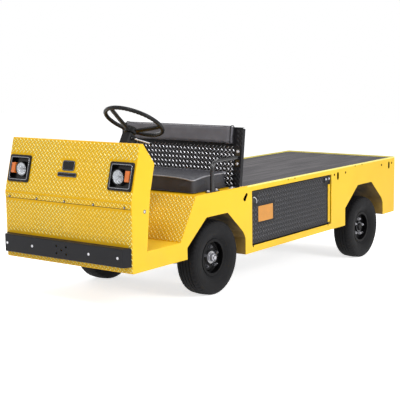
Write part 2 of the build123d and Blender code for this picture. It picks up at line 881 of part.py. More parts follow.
keep(knuckle_left, "knuckle_left")

with BuildPart() as knuckle_right:
    add(mirror(knuckle_left.part, about=Plane.XZ, mode=Mode.PRIVATE))
    # the right knuckle carries no drag link, so the inner arm comes off
    with BuildSketch(Plane.XY.offset(arm_z - stud_drop - 1)):
        with Locations((0, -kingpin_y + eye_r + drag_arm / 2)):
            Rectangle(arm_width + 20, drag_arm + 0.01)
    extrude(amount=stud_drop + arm_thickness, mode=Mode.SUBTRACT)
keep(knuckle_right, "knuckle_right")

rod_z = arm_z - stud_drop + rod_eye_height / 2


def rod_eye(at, mid_z, bore):
    with BuildSketch(Plane.XY.offset(mid_z - rod_eye_height / 2)) as boss:
        with Locations(at):
            Circle(rod_eye_r)
    extrude(boss.sketch, amount=rod_eye_height)
    with BuildSketch(Plane.XY.offset(mid_z - rod_eye_height)) as hole:
        with Locations(at):
            Circle(bore)
    extrude(hole.sketch, amount=2 * rod_eye_height, mode=Mode.SUBTRACT)


open_bore = stud_r + 1.5
with BuildPart() as tie_rod:
    with BuildSketch(across(kingpin_y - rod_eye_r + 3)):
        with Locations((-tie_arm, rod_z)):
            Circle(rod_r)
    extrude(amount=2 * (kingpin_y - rod_eye_r + 3))
    rod_eye((-tie_arm, kingpin_y), rod_z, stud_r + fit)
    rod_eye((-tie_arm, -kingpin_y), rod_z, open_bore)
keep(tie_rod, "tie_rod")

drag_y = kingpin_y - drag_arm
pitman_rod_z = pitman_z - stud_drop + rod_eye_height / 2
with BuildPart() as drag_link:
    drag_start = Vector(rod_eye_r - 3, drag_y, rod_z)
    drag_end = Vector(gear_x - rod_eye_r + 3, drag_y, pitman_rod_z)
    with BuildSketch(Plane(origin=drag_start, z_dir=drag_end - drag_start)):
        Circle(rod_r - 2)
    extrude(amount=(drag_end - drag_start).length)
    rod_eye((0, drag_y), rod_z, stud_r + fit)
    rod_eye((gear_x, drag_y), pitman_rod_z, open_bore)
keep(drag_link, "drag_link")

# Leaf springs: a bowed main leaf with an eye at each end, and shorter leaves under it
def leaf_spring(centre_x, seat_z, half_span, rail_bottom):
    # leaf n ends where the arc has risen by the square of its share of the span
    gauge = spring_thickness / len(leaf_share)
    sag = rail_bottom - seat_z - spring_thickness - 10
    with BuildSketch(across(rail_inner_y + rail_width / 2 + spring_width / 2)) as pack:
        for n, share in enumerate(leaf_share):
            reach, foot = share * half_span, seat_z + spring_thickness - (n + 1) * gauge
            with BuildLine():
                ThreePointArc(
                    (centre_x + reach, foot + sag * share**2),
                    (centre_x, foot),
                    (centre_x - reach, foot + sag * share**2),
                )
                offset(amount=gauge, side=Side.RIGHT)
            make_face()
        for end_x in (centre_x + half_span, centre_x - half_span):
            with Locations((end_x, seat_z + sag + spring_thickness / 2)):
                Circle(15)
            with Locations((end_x, (seat_z + sag + rail_bottom) / 2 + 4)):
                Rectangle(18, rail_bottom - seat_z - sag - 8)
    extrude(pack.sketch, amount=spring_width)


with BuildPart() as leaf_springs:
    leaf_spring(0, front_hub_z + beam[1] / 2, spring_half[0], rail_front_top - rail_height)
    leaf_spring(rear_x, rear_hub_z + axle_tube_r, spring_half[1], rail_rear_top - rail_height)
    mirror(about=Plane.XZ)
keep(leaf_springs, "leaf_springs")

# Rear axle: tubes, round gear housing, motor and the stub shafts that carry the wheels
with BuildPart() as rear_axle:
    with BuildSketch(Plane(origin=(rear_x, 0, rear_hub_z), x_dir=(1, 0, 0), z_dir=(0, 1, 0))):
        Circle(axle_tube_r)
    extrude(amount=hub_y - 78, both=True)
    with BuildSketch(Plane(origin=(rear_x, 0, rear_hub_z), x_dir=(1, 0, 0), z_dir=(0, 1, 0))):
        Circle(spindle_r)
    extrude(amount=hub_y + 14, both=True)
    with BuildSketch(Plane(origin=(rear_x, 0, rear_hub_z), x_dir=(0, 0, 1), z_dir=(1, 0, 0))):
        Circle(diff_r)
    extrude(amount=70, both=True, taper=12)
    # drive motor on the front of the housing
    with BuildSketch(Plane(origin=(rear_x + 64, 0, rear_hub_z), x_dir=(0, 1, 0), z_dir=(1, 0, 0))):
        Circle(motor_r)
    extrude(amount=motor_length)
    chamfer(rear_axle.edges().sort_by(Axis.X)[-1], 12)
keep(rear_axle, "rear_axle")

# Pedals: plates on arms that stand on the floor, accelerator on the right
pedal_foot = Vector(gear_x + 4, 0, sill_z + 2)
pedal_seat = Vector(gear_x - 30, 0, sill_z + 86)
with BuildPart() as pedals:
    for offset_y, width in pedal_offsets:
        y = shaft_foot_y + offset_y
        foot = pedal_foot + Vector(0, y, 0)
        seat = pedal_seat + Vector(0, y, 0)
        with BuildSketch(Plane(origin=seat, x_dir=(0, 1, 0), z_dir=(-0.8, 0, 0.6))):
            RectangleRounded(width, pedal_height, pedal_gauge)
        extrude(amount=pedal_gauge)
        with BuildSketch(Plane(origin=foot, x_dir=(0, 1, 0), z_dir=seat - foot)):
            Rectangle(16, 12)
        extrude(amount=(seat - foot).length)
        with BuildSketch(Plane.XY.offset(sill_z)):
            with Locations((foot.X, y)):
                Rectangle(40, 40)
        extrude(amount=6)
keep(pedals, "pedals")

# Tow hitch: two lugs on a plate at the tail, bored for a drop pin
with BuildPart() as tow_hitch:
    with BuildSketch(Plane.YZ.offset(tail_x)):
        with Locations((0, hitch_z)):
            Rectangle(150, 110)
    extrude(amount=-8)
    for side in (-1, 1):
        with BuildSketch(Plane.XY.offset(hitch_z + side * (hitch_gap + hitch_plate) / 2 - hitch_plate / 2)):
            with Locations((tail_x - hitch_reach / 2, 0)):
                Rectangle(hitch_reach, 70)
            with Locations((tail_x - hitch_reach, 0)):
                Circle(35)
                Circle(hitch_pin_r, mode=Mode.SUBTRACT)
        extrude(amount=hitch_plate)
keep(tow_hitch, "tow_hitch")


# Wheels: place, hub centre and the height of the hub
def tyre_at(x, z, side, name):
    # section drawn as radius against distance from the middle of the tread
    r, w = tyre_radius, tyre_width / 2
    seat = rim_radius + 0.3
    wall_r, wall_y = r * 0.77, w * 0.993
    plane = Plane(origin=(x, side * hub_y, z), x_dir=(1, 0, 0), z_dir=(0, 0, 1))
    with BuildPart() as tyre:
        with BuildSketch(plane):
            with BuildLine():
                Line((seat, -rim_width / 2 + rim_gauge), (seat, rim_width / 2 - rim_gauge))
                Line((seat, rim_width / 2 - rim_gauge), (seat + rim_lip + 2, rim_width / 2 - rim_gauge))
                ThreePointArc(
                    (seat + rim_lip + 2, rim_width / 2 - rim_gauge), (wall_r, wall_y), (r * 0.925, w * 0.925)
                )
                ThreePointArc((r * 0.925, w * 0.925), (r * 0.973, w * 0.8), (r * 0.988, w * 0.58))
                ThreePointArc((r * 0.988, w * 0.58), (r, 0), (r * 0.988, -w * 0.58))
                ThreePointArc((r * 0.988, -w * 0.58), (r * 0.973, -w * 0.8), (r * 0.925, -w * 0.925))
                ThreePointArc(
                    (r * 0.925, -w * 0.925), (wall_r, -wall_y), (seat + rim_lip + 2, -rim_width / 2 + rim_gauge)
                )
                Line((seat + rim_lip + 2, -rim_width / 2 + rim_gauge), (seat, -rim_width / 2 + rim_gauge))
            make_face()
        revolve(axis=Axis((x, side * hub_y, z), (0, 1, 0)))
    keep(tyre, name)


def wheel_at(x, z, side, name, cap_r, cap_out):
    # dished disc wheel with its hub, drum behind and cap in front
    out = rim_width / 2
    bore_r = rim_radius - rim_gauge
    plane = Plane(origin=(x, side * hub_y, z), x_dir=(1, 0, 0), z_dir=(0, 0, 1))
    with BuildPart() as wheel:
        with BuildSketch(plane):
            with BuildLine():
                Polyline(
                    (rim_radius + rim_lip, side * out),
                    (bore_r, side * out),
                    (bore_r, side * 11),
                    (nut_ring_r + 10, side * 7),
                    (nut_ring_r, side * disc_out),
                    (barrel_r, side * disc_out),
                    (barrel_r - 4, side * barrel_out),
                    (cap_r, side * barrel_out),
                    (cap_r, side * (cap_out - 6)),
                    (cap_r - 6, side * cap_out),
                    (0, side * cap_out),
                    (0, side * disc_out),
                    (spindle_r + fit, side * disc_out),
                    (spindle_r + fit, side * -40),
                    (drum_r, side * -40),
                    (drum_r, side * -2),
                    (drum_neck_r, side * -2),
                    (drum_neck_r, side * (disc_out - disc_gauge)),
                    (nut_ring_r - 2, side * (disc_out - disc_gauge)),
                    (nut_ring_r + 8, side * (7 - disc_gauge)),
                    (bore_r, side * (11 - disc_gauge)),
                    (bore_r, side * -out),
                    (rim_radius + rim_lip, side * -out),
                    (rim_radius + rim_lip, side * (-out + rim_gauge)),
                    (rim_radius, side * (-out + rim_gauge)),
                    (rim_radius, side * (out - rim_gauge)),
                    (rim_radius + rim_lip, side * (out - rim_gauge)),
                    close=True,
                )
            make_face()
        revolve(axis=Axis((x, side * hub_y, z), (0, 1, 0)))
    keep(wheel, name)


# name, X of the hub, Z of the hub, side, radius of the hub cap, reach of the cap
for name, x, z, side, cap_r, cap_out in [
    ("front_left", 0, front_hub_z, 1, 24, 60),
    ("front_right", 0, front_hub_z, -1, 24, 60),
    ("rear_left", rear_x, rear_hub_z, 1, 28, 42),
    ("rear_right", rear_x, rear_hub_z, -1, 28, 42),
]:
    tyre_at(x, z, side, "tyre_" + name)
    wheel_at(x, z, side, "wheel_" + name, cap_r, cap_out)

# Stand it on its tyres: turn the nose down until both axles are level, then put the
# origin on the ground under the middle of the whole machine
nose_down = Location((0, 0, 0), (0, pitch, 0))
hub_height_now = (nose_down * Location((0, 0, front_hub_z))).position.Z
boxes = [piece.moved(nose_down).bounding_box() for piece in pieces]
middle_x = (min(box.min.X for box in boxes) + max(box.max.X for box in boxes)) / 2
stance = Location((-middle_x, 0, tyre_radius - hub_height_now)) * nose_down

os.makedirs("parts", exist_ok=True)
for piece in pieces:
    standing = piece.moved(stance)
    standing.label = piece.label
    export_step(standing, f"parts/{piece.label}.step")
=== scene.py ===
import bpy
import bmesh
import json
import math
import numpy as np
from mathutils import Vector, Matrix


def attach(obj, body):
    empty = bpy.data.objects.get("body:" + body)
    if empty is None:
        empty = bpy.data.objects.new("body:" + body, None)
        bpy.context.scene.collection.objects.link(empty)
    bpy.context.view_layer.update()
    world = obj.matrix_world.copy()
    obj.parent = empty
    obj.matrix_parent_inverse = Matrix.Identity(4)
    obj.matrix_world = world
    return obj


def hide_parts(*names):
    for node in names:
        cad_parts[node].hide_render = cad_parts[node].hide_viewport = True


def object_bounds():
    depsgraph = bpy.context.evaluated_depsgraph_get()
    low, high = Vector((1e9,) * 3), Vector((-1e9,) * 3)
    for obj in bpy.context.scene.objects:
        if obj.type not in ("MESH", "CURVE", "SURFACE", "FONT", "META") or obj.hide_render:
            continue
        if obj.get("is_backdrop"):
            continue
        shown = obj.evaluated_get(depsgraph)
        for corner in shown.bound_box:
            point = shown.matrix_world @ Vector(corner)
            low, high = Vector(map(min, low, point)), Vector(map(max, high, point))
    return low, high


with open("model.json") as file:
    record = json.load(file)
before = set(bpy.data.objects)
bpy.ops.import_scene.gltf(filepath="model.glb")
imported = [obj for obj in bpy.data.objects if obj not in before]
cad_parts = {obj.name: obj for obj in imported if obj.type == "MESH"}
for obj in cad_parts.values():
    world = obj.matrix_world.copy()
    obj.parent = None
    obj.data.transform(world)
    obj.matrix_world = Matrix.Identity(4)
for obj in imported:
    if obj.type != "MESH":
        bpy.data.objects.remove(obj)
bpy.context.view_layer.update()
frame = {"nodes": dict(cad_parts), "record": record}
nodes = frame["nodes"]
jointAt = {joint["name"]: joint for joint in frame["record"]["behaviour"]["joints"]}

# The body stands nose-down on its tyres. Shapes below are written level, in the body's own
# frame in metres: X forward from the front hubs, Y left, Z up from the side panels' lower edge.
truck = {
    "frontHub": (0.0, 0.418, 0.031),
    "rearHub": (-1.9, 0.418, -0.058),
    "deckTop": 0.428,
}
hands = ((1, "left"), (-1, "right"))
bodyUp = np.array(jointAt["steer_left"]["axis"])
noseDown = math.atan2(bodyUp[0], bodyUp[2])
lean = np.array([
    [math.cos(noseDown), 0, math.sin(noseDown)],
    [0, 1, 0],
    [-math.sin(noseDown), 0, math.cos(noseDown)],
])
shift = np.array(jointAt["spin_front_left"]["pos_m"]) - lean @ np.array(truck["frontHub"])


def stand(points):  # body-frame points to the frame the model stands in
    return np.asarray(points, float) @ lean.T + shift


def unit(vector):  # each row divided by its length
    vector = np.asarray(vector, float)
    return vector / np.linalg.norm(vector, axis=-1, keepdims=True)


# Shapes are (points, [faces]): an (n, 3) array and integer arrays of corners, one per face size

def gridShape(points, closeU=False, closeV=False):
    # quads between neighbours of a (u, v, 3) array, wrapped round where a side is closed
    rows, cols = points.shape[:2]
    u = np.arange(rows if closeU else rows - 1)[:, None]
    v = np.arange(cols if closeV else cols - 1)[None, :]
    nextU, nextV = (u + 1) % rows, (v + 1) % cols
    quads = np.stack([u * cols + v, nextU * cols + v, nextU * cols + nextV, u * cols + nextV], -1)
    return points.reshape(-1, 3), [quads.reshape(-1, 4)]


def tubeShape(rings, closed=False):
    # closed rings joined one to the next, with flat ends unless the last meets the first
    points, faces = gridShape(rings, closeU=closed, closeV=True)
    if closed:
        return points, faces
    count = rings.shape[1]
    ends = np.array([np.arange(count)[::-1], np.arange(count) + (len(rings) - 1) * count])
    return points, faces + [ends]


def join(*shapes):
    # one shape from several: the corners' numbers go up by the points before them
    points, faces, start = [], [], 0
    for shapePoints, shapeFaces in shapes:
        points.append(shapePoints)
        faces += [corners + start for corners in shapeFaces]
        start += len(shapePoints)
    return np.concatenate(points), faces


def copies(shape, places):
    # the shape once for each 3x4 placement in an (n, 3, 4) array
    points, faces = shape
    many = np.einsum("nij,kj->nki", places[:, :, :3], points) + places[:, None, :, 3]
    steps = np.arange(len(places))[:, None, None] * len(points)
    return many.reshape(-1, 3), [(corners[None] + steps).reshape(-1, corners.shape[1]) for corners in faces]


def placements(centres, xDir, yDir, zDir):
    # (n, 3, 4) placements at the centres with one shared set of axes
    centres = np.atleast_2d(np.asarray(centres, float))
    axes = [np.broadcast_to(unit(axis), centres.shape) for axis in (xDir, yDir, zDir)]
    return np.stack([*axes, centres], -1)


def onSide(shape, side, depth, spots):
    # copies laid on the left (1) or right (-1) side at spots (x, z), facing outwards
    centres = [(x, depth * side, z) for x, z in spots]
    return copies(shape, placements(centres, (-side, 0, 0), (0, 0, 1), (0, side, 0)))


def onPlane(plane, local):
    # rows of (along Y, up the plane, out from it) to body-frame points
    return np.asarray(plane["origin"]) + np.asarray(local, float) @ planeAxes(plane)


def planeAxes(plane):
    return np.array([(0, 1, 0), plane["up"], plane["out"]], float)


def laid(plane, shape, spots):  # copies of the shape on the plane at the spots
    return copies(shape, placements(onPlane(plane, spots), *planeAxes(plane)))


def sideOf(axis):
    # a direction square to the axis: level, or along Y for an upright axis
    axis = unit(axis)
    helper = (0.0, 0.0, 1.0) if abs(axis[2]) < 0.9 else (1.0, 0.0, 0.0)
    return unit(np.cross(helper, axis))


def turned(profile, centre=(0, 0, 0), axis=(0, 0, 1), count=48):
    # rows of (radius, distance along the axis) spun about the axis
    profile = np.asarray(profile, float)
    axis, side = unit(axis), sideOf(axis)
    other = np.cross(axis, side)
    angle = np.arange(count)[:, None] * 2 * math.pi / count
    ring = np.cos(angle) * side + np.sin(angle) * other
    radius, along = profile[None, :, 0, None], profile[None, :, 1, None]
    return gridShape(np.asarray(centre, float) + along * axis + radius * ring[:, None], closeU=True)


def turnedAt(places, profile, axis, count):  # the same turned shape at each place
    return join(*(turned(profile, place, axis, count) for place in places))


def swept(path, section, upDir, closed=False):
    # a closed section carried along a path, its second axis kept towards upDir
    path, section = np.asarray(path, float), np.asarray(section, float)
    tangent = np.roll(path, -1, 0) - np.roll(path, 1, 0) if closed else np.gradient(path, axis=0)
    tangent = unit(tangent)
    side = unit(np.cross(np.broadcast_to(upDir, tangent.shape), tangent))
    up = np.cross(tangent, side)
    section = np.broadcast_to(section, (len(path),) + section.shape[-2:])
    rings = path[:, None] + section[:, :, :1] * side[:, None] + section[:, :, 1:] * up[:, None]
    return tubeShape(rings, closed)


def circle(radius, count=12):
    # even points round the origin
    angle = np.arange(count) * 2 * math.pi / count
    return np.stack([radius * np.cos(angle), radius * np.sin(angle)], -1)


def roundedOutline(width, height, radius, perCorner=6):
    # four quarter circles joined by straight sides
    angle = np.linspace(0, math.pi / 2, perCorner)
    corner = np.stack([np.cos(angle), np.sin(angle)], -1) * radius
    centre = np.array([width / 2 - radius, height / 2 - radius])
    quarters = []
    for turns, sign in enumerate([(1, 1), (-1, 1), (-1, -1), (1, -1)]):
        c, s = round(math.cos(turns * math.pi / 2)), round(math.sin(turns * math.pi / 2))
        quarters.append(corner @ np.array([[c, s], [-s, c]]) + centre * np.array(sign))
    return np.concatenate(quarters)


def slab(levels, width, height, radius, perCorner=6, share=1.0, least=1e-5):
    # rounded rectangles drawn in by each level's (height, inset), from the foot to the top;
    # the corner's radius shrinks by its share of the inset, down to the least
    rings = []
    for level, inset in levels:
        corner = max(radius - inset * share, least)
        ring = roundedOutline(width - 2 * inset, height - 2 * inset, corner, perCorner)
        rings.append(np.column_stack([ring, np.full(len(ring), level)]))
    return tubeShape(np.array(rings))


def plate(width, height, radius, thickness, edge=0.0008, perCorner=6):
    # plate with rounded corners and a small bevel round its top, its foot on the XY plane
    return slab([(0, 0), (thickness - edge, 0), (thickness, edge)], width, height, radius, perCorner)


def openSides(shape):  # the shape without its flat ends
    return shape[0], shape[1][:1]


def boltHead(across, height, sides=6, washer=0.0):
    # hexagon (or round, with more sides) with a chamfered top, on a washer if it has one
    r, e, lift = across / 2, across * 0.08, 0.0012
    head = turned([(0, 0), (r, 0), (r, height - e), (r - e, height), (0, height)], count=sides)
    if washer:
        ring = turned([(0, 0), (washer, 0), (washer, lift), (0, lift)], count=20)
        head = join(ring, (head[0] + (0, 0, lift), head[1]))
    return head


def smoothPath(points, count):
    # even steps along a Catmull-Rom curve through the points
    p = np.asarray(points, float)
    p = np.vstack([2 * p[0] - p[1], p, 2 * p[-1] - p[-2]])
    at = np.linspace(0, len(p) - 3 - 1e-9, count)
    k, t = at.astype(int), (at % 1)[:, None]
    a, b, c, d = p[k], p[k + 1], p[k + 2], p[k + 3]
    cubic = (3 * b - a - 3 * c + d) * t ** 3
    return 0.5 * (2 * b + (c - a) * t + (2 * a - 5 * b + 4 * c - d) * t ** 2 + cubic)


def shapeObject(name, shape, finishes, gap, closed=True, faceFinish=None):
    # body-frame shape to an object: doubles within the gap merged, faces turned outwards if closed
    points, faces = shape
    mesh = bpy.data.meshes.new(name)
    mesh.from_pydata(stand(points).tolist(), [], [corners for group in faces for corners in group.tolist()])
    for finish in finishes:
        mesh.materials.append(coats[finish])
    if faceFinish is not None:
        mesh.polygons.foreach_set("material_index", np.asarray(faceFinish, np.int32))
    work = bmesh.new()
    work.from_mesh(mesh)
    bmesh.ops.remove_doubles(work, verts=work.verts, dist=gap)
    bmesh.ops.dissolve_degenerate(work, edges=work.edges, dist=1e-7)
    if closed:
        bmesh.ops.recalc_face_normals(work, faces=work.faces)
    work.to_mesh(mesh)
    work.free()
    made = bpy.data.objects.new(name, mesh)
    bpy.context.scene.collection.objects.link(made)
    return made


def makePiece(name, shape, finish, rides="truck_body", slot=None, replaces=None, crease=35, **options):
    # finished piece that rides on a CAD body, in the finishes named
    finishes = finish.split()
    piece = shapeObject(name, shape, finishes, 2e-6, **options)
    piece.data.polygons.foreach_set("use_smooth", np.ones(len(piece.data.polygons), bool))
    piece.data.set_sharp_from_angle(angle=math.radians(crease))
    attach(piece, rides)
    if replaces:
        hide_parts(replaces)


# Materials: one socket class with arithmetic, and one method that makes every node

def arithmetic(operation, flipped=False):
    # method that puts a Math node between two values
    def method(self, other):
        first, second = (other, self) if flipped else (self, other)
        return self.maker.node("ShaderNodeMath", {"operation": operation}, {0: first, 1: second})
    return method


class Flow:
    def __init__(self, maker, socket):
        self.maker, self.socket = maker, socket

    __add__, __radd__ = arithmetic("ADD"), arithmetic("ADD", True)
    __sub__, __rsub__ = arithmetic("SUBTRACT"), arithmetic("SUBTRACT", True)
    __mul__, most = arithmetic("MULTIPLY"), arithmetic("MAXIMUM")

    def between(self, low, high):
        # 0 at low, 1 at high, smooth between them
        values = {0: self, 1: low, 2: high, 3: 0.0, 4: 1.0}
        return self.maker.node("ShaderNodeMapRange", {"interpolation_type": "SMOOTHSTEP"}, values)


class Maker:
    def __init__(self, tree):
        self.tree = tree
        tree.nodes.clear()

    def feed(self, socket, value):
        if isinstance(value, Flow):
            self.tree.links.new(value.socket, socket)
        else:
            socket.default_value = value

    def node(self, kind, settings, inputs, output=0):
        made = self.tree.nodes.new(kind)
        for name, value in settings.items():
            setattr(made, name, value)
        for key, value in inputs.items():
            self.feed(made.inputs[key], value)
        return Flow(self, made.outputs[output]) if made.outputs else None

    def seen(self):
        # 1 for what the camera, reflections and glass see, 0 for light that falls on things
        rays = ("Is Camera Ray", "Is Glossy Ray", "Is Transmission Ray")
        camera, glossy, clear = (self.node("ShaderNodeLightPath", {}, {}, ray) for ray in rays)
        return camera.most(glossy).most(clear)


class Finish(Maker):
    def __init__(self, name):
        self.material = bpy.data.materials.new(name)
        self.material.use_nodes = True
        super().__init__(self.material.node_tree)
        self.surface = self.tree.nodes.new("ShaderNodeBsdfPrincipled")
        self.output = self.tree.nodes.new("ShaderNodeOutputMaterial")
        self.tree.links.new(self.surface.outputs[0], self.output.inputs[0])
        self.place = self.node("ShaderNodeTexCoord", {}, {}, "Object")

    def noise(self, scale, detail=2.0, stretch=(1, 1, 1), rough=0.5):
        where = self.node("ShaderNodeMapping", {}, {"Vector": self.place, "Scale": stretch})
        values = {"Vector": where, "Scale": scale, "Detail": detail, "Roughness": rough}
        return self.node("ShaderNodeTexNoise", {}, values)

    def cells(self, scale):
        return self.node("ShaderNodeTexVoronoi", {"feature": "F1"}, {"Vector": self.place, "Scale": scale})

    def axis(self, letter):
        return self.node("ShaderNodeSeparateXYZ", {}, {0: self.place}, letter)

    def mix(self, amount, first, second):
        return self.node("ShaderNodeMix", {"data_type": "RGBA"}, {0: amount, 6: first, 7: second}, 2)

    def blend(self, amount, first, second):
        # from the first display colour, or a colour made before, to the second display colour
        return self.mix(amount, first if isinstance(first, Flow) else tone(*first), tone(*second))

    def bump(self, height, distance, strength=1.0, under=None):
        inputs = {"Height": height, "Distance": distance, "Strength": strength}
        if under is not None:
            inputs["Normal"] = under
        return self.node("ShaderNodeBump", {}, inputs)

    def finish(self, **sockets):
        for name, value in sockets.items():
            self.feed(self.surface.inputs[name.replace("_", " ")], value)
        return self.material


def tone(*display):
    # display colour, 0 to 255, to a linear colour
    linear = [c / 255 / 12.92 if c <= 10 else ((c / 255 + 0.055) / 1.055) ** 2.4 for c in display]
    return (*linear, 1.0)


def enamelFinish(name, main, deep, dust, rough, sheen=0.24, coat=0.08, rim=None):
    # sprayed paint: faint cloudiness, orange peel, and road dust low down
    f = Finish(name)
    cloud = f.noise(3.0, 3.0)
    speck = f.noise(160.0, 2.0)
    low = 1 - f.axis("Z").between(0.12, 0.62)
    grime = (low * 0.35 + f.noise(9.0, 4.0) * 0.9 - 0.45).between(0.0, 0.7) * 0.35
    colour = f.blend(grime, f.blend(cloud.between(0.35, 0.75) * 0.5, main, deep), dust)
    if rim:
        # painted highlight: body-frame height over the deck, behind the seat box, where the rim catches the
        # light, is painted the lighter rim colour
        height = f.axis("X") * float(lean[0, 2]) + f.axis("Z") * float(lean[2, 2]) - float(lean[:, 2] @ shift)
        front = float(stand([[-0.32, 0, truck["deckTop"]]])[0, 0])
        above = height.between(truck["deckTop"] - 0.001, truck["deckTop"] + 0.001)
        colour = f.blend(above * f.axis("X").between(front, front - 0.02), colour, rim)
    peel = f.bump(f.noise(420.0, 1.0), 0.00012, 0.6)
    return f.finish(Base_Color=colour, Roughness=rough + speck * 0.06 + grime * 0.5, Normal=peel,
                    Coat_Weight=coat, Coat_Roughness=0.12, Specular_IOR_Level=sheen)


def deckFinish(name, main, scuffed):
    # grey non-slip coating with fine lines along the deck, scuffed lighter where loads slide
    f = Finish(name)
    line = f.noise(1.0, 3.0, (3.0, 260.0, 20.0), 0.65)
    long = f.noise(1.0, 3.0, (1.6, 46.0, 4.0), 0.6)
    scuff = f.noise(2.4, 5.0, (0.6, 2.2, 1.0)).between(0.36, 0.64)
    mark = (line.between(0.35, 0.72) * 0.45 + long.between(0.38, 0.66) * 0.5) * (0.5 + scuff * 0.5)
    grain = f.bump(line + f.noise(900.0, 2.0) * 0.5, 0.0006, 0.7)
    return f.finish(Base_Color=f.blend(mark, main, scuffed), Roughness=0.66 - mark * 0.1, Normal=grain,
                    Specular_IOR_Level=0.25)


def vinylFinish(name, main, light):
    # upholstery vinyl: fine pebble grain over soft creases
    f = Finish(name)
    pebble = f.cells(520.0)
    crease = f.noise(14.0, 3.0)
    normal = f.bump(pebble, 0.0005, 0.5, f.bump(crease, 0.004, 0.35))
    return f.finish(Base_Color=f.blend(crease.between(0.35, 0.75) * 0.6, main, light),
                    Roughness=0.42 + pebble * 0.12, Normal=normal, Specular_IOR_Level=0.38)


def rubberFinish(name, main, dusty):
    # tyre rubber: matt, with dust in the low places
    f = Finish(name)
    dust = f.noise(26.0, 4.0).between(0.45, 0.8)
    normal = f.bump(f.noise(700.0, 2.0), 0.0003, 0.5)
    return f.finish(Base_Color=f.blend(dust * 0.45, main, dusty), Roughness=0.66 + dust * 0.2,
                    Normal=normal, Specular_IOR_Level=0.16)


def archFinish(name, main, dark):
    # the liners' yellow, darkened in patches and towards the crown as painted shade
    f = Finish(name)
    paintedShade = f.noise(6.0, 4.0).between(0.3, 0.7) * 0.45 + f.axis("Z").between(0.32, 0.46) * 0.55
    return f.finish(Base_Color=f.blend(paintedShade, main, dark), Roughness=0.62 + paintedShade * 0.2,
                    Normal=f.bump(f.noise(260.0, 3.0), 0.0006, 0.6))


def plainFinish(name, colour, rough, metal=0.0, grainScale=300.0, mottle=0.12, **more):
    # one colour with a slight mottle and a fine grain at the right scale
    f = Finish(name)
    cloud = f.noise(grainScale / 12, 3.0)
    light = tone(*colour)
    dark = tuple(c * (1 - mottle * 2) for c in light[:3]) + (1.0,)
    mixed = f.mix(cloud.between(0.3, 0.75), dark, light)
    normal = f.bump(f.noise(grainScale, 2.0), 0.0002, 0.5)
    return f.finish(Base_Color=mixed, Roughness=rough + cloud * 0.1, Metallic=metal, Normal=normal, **more)


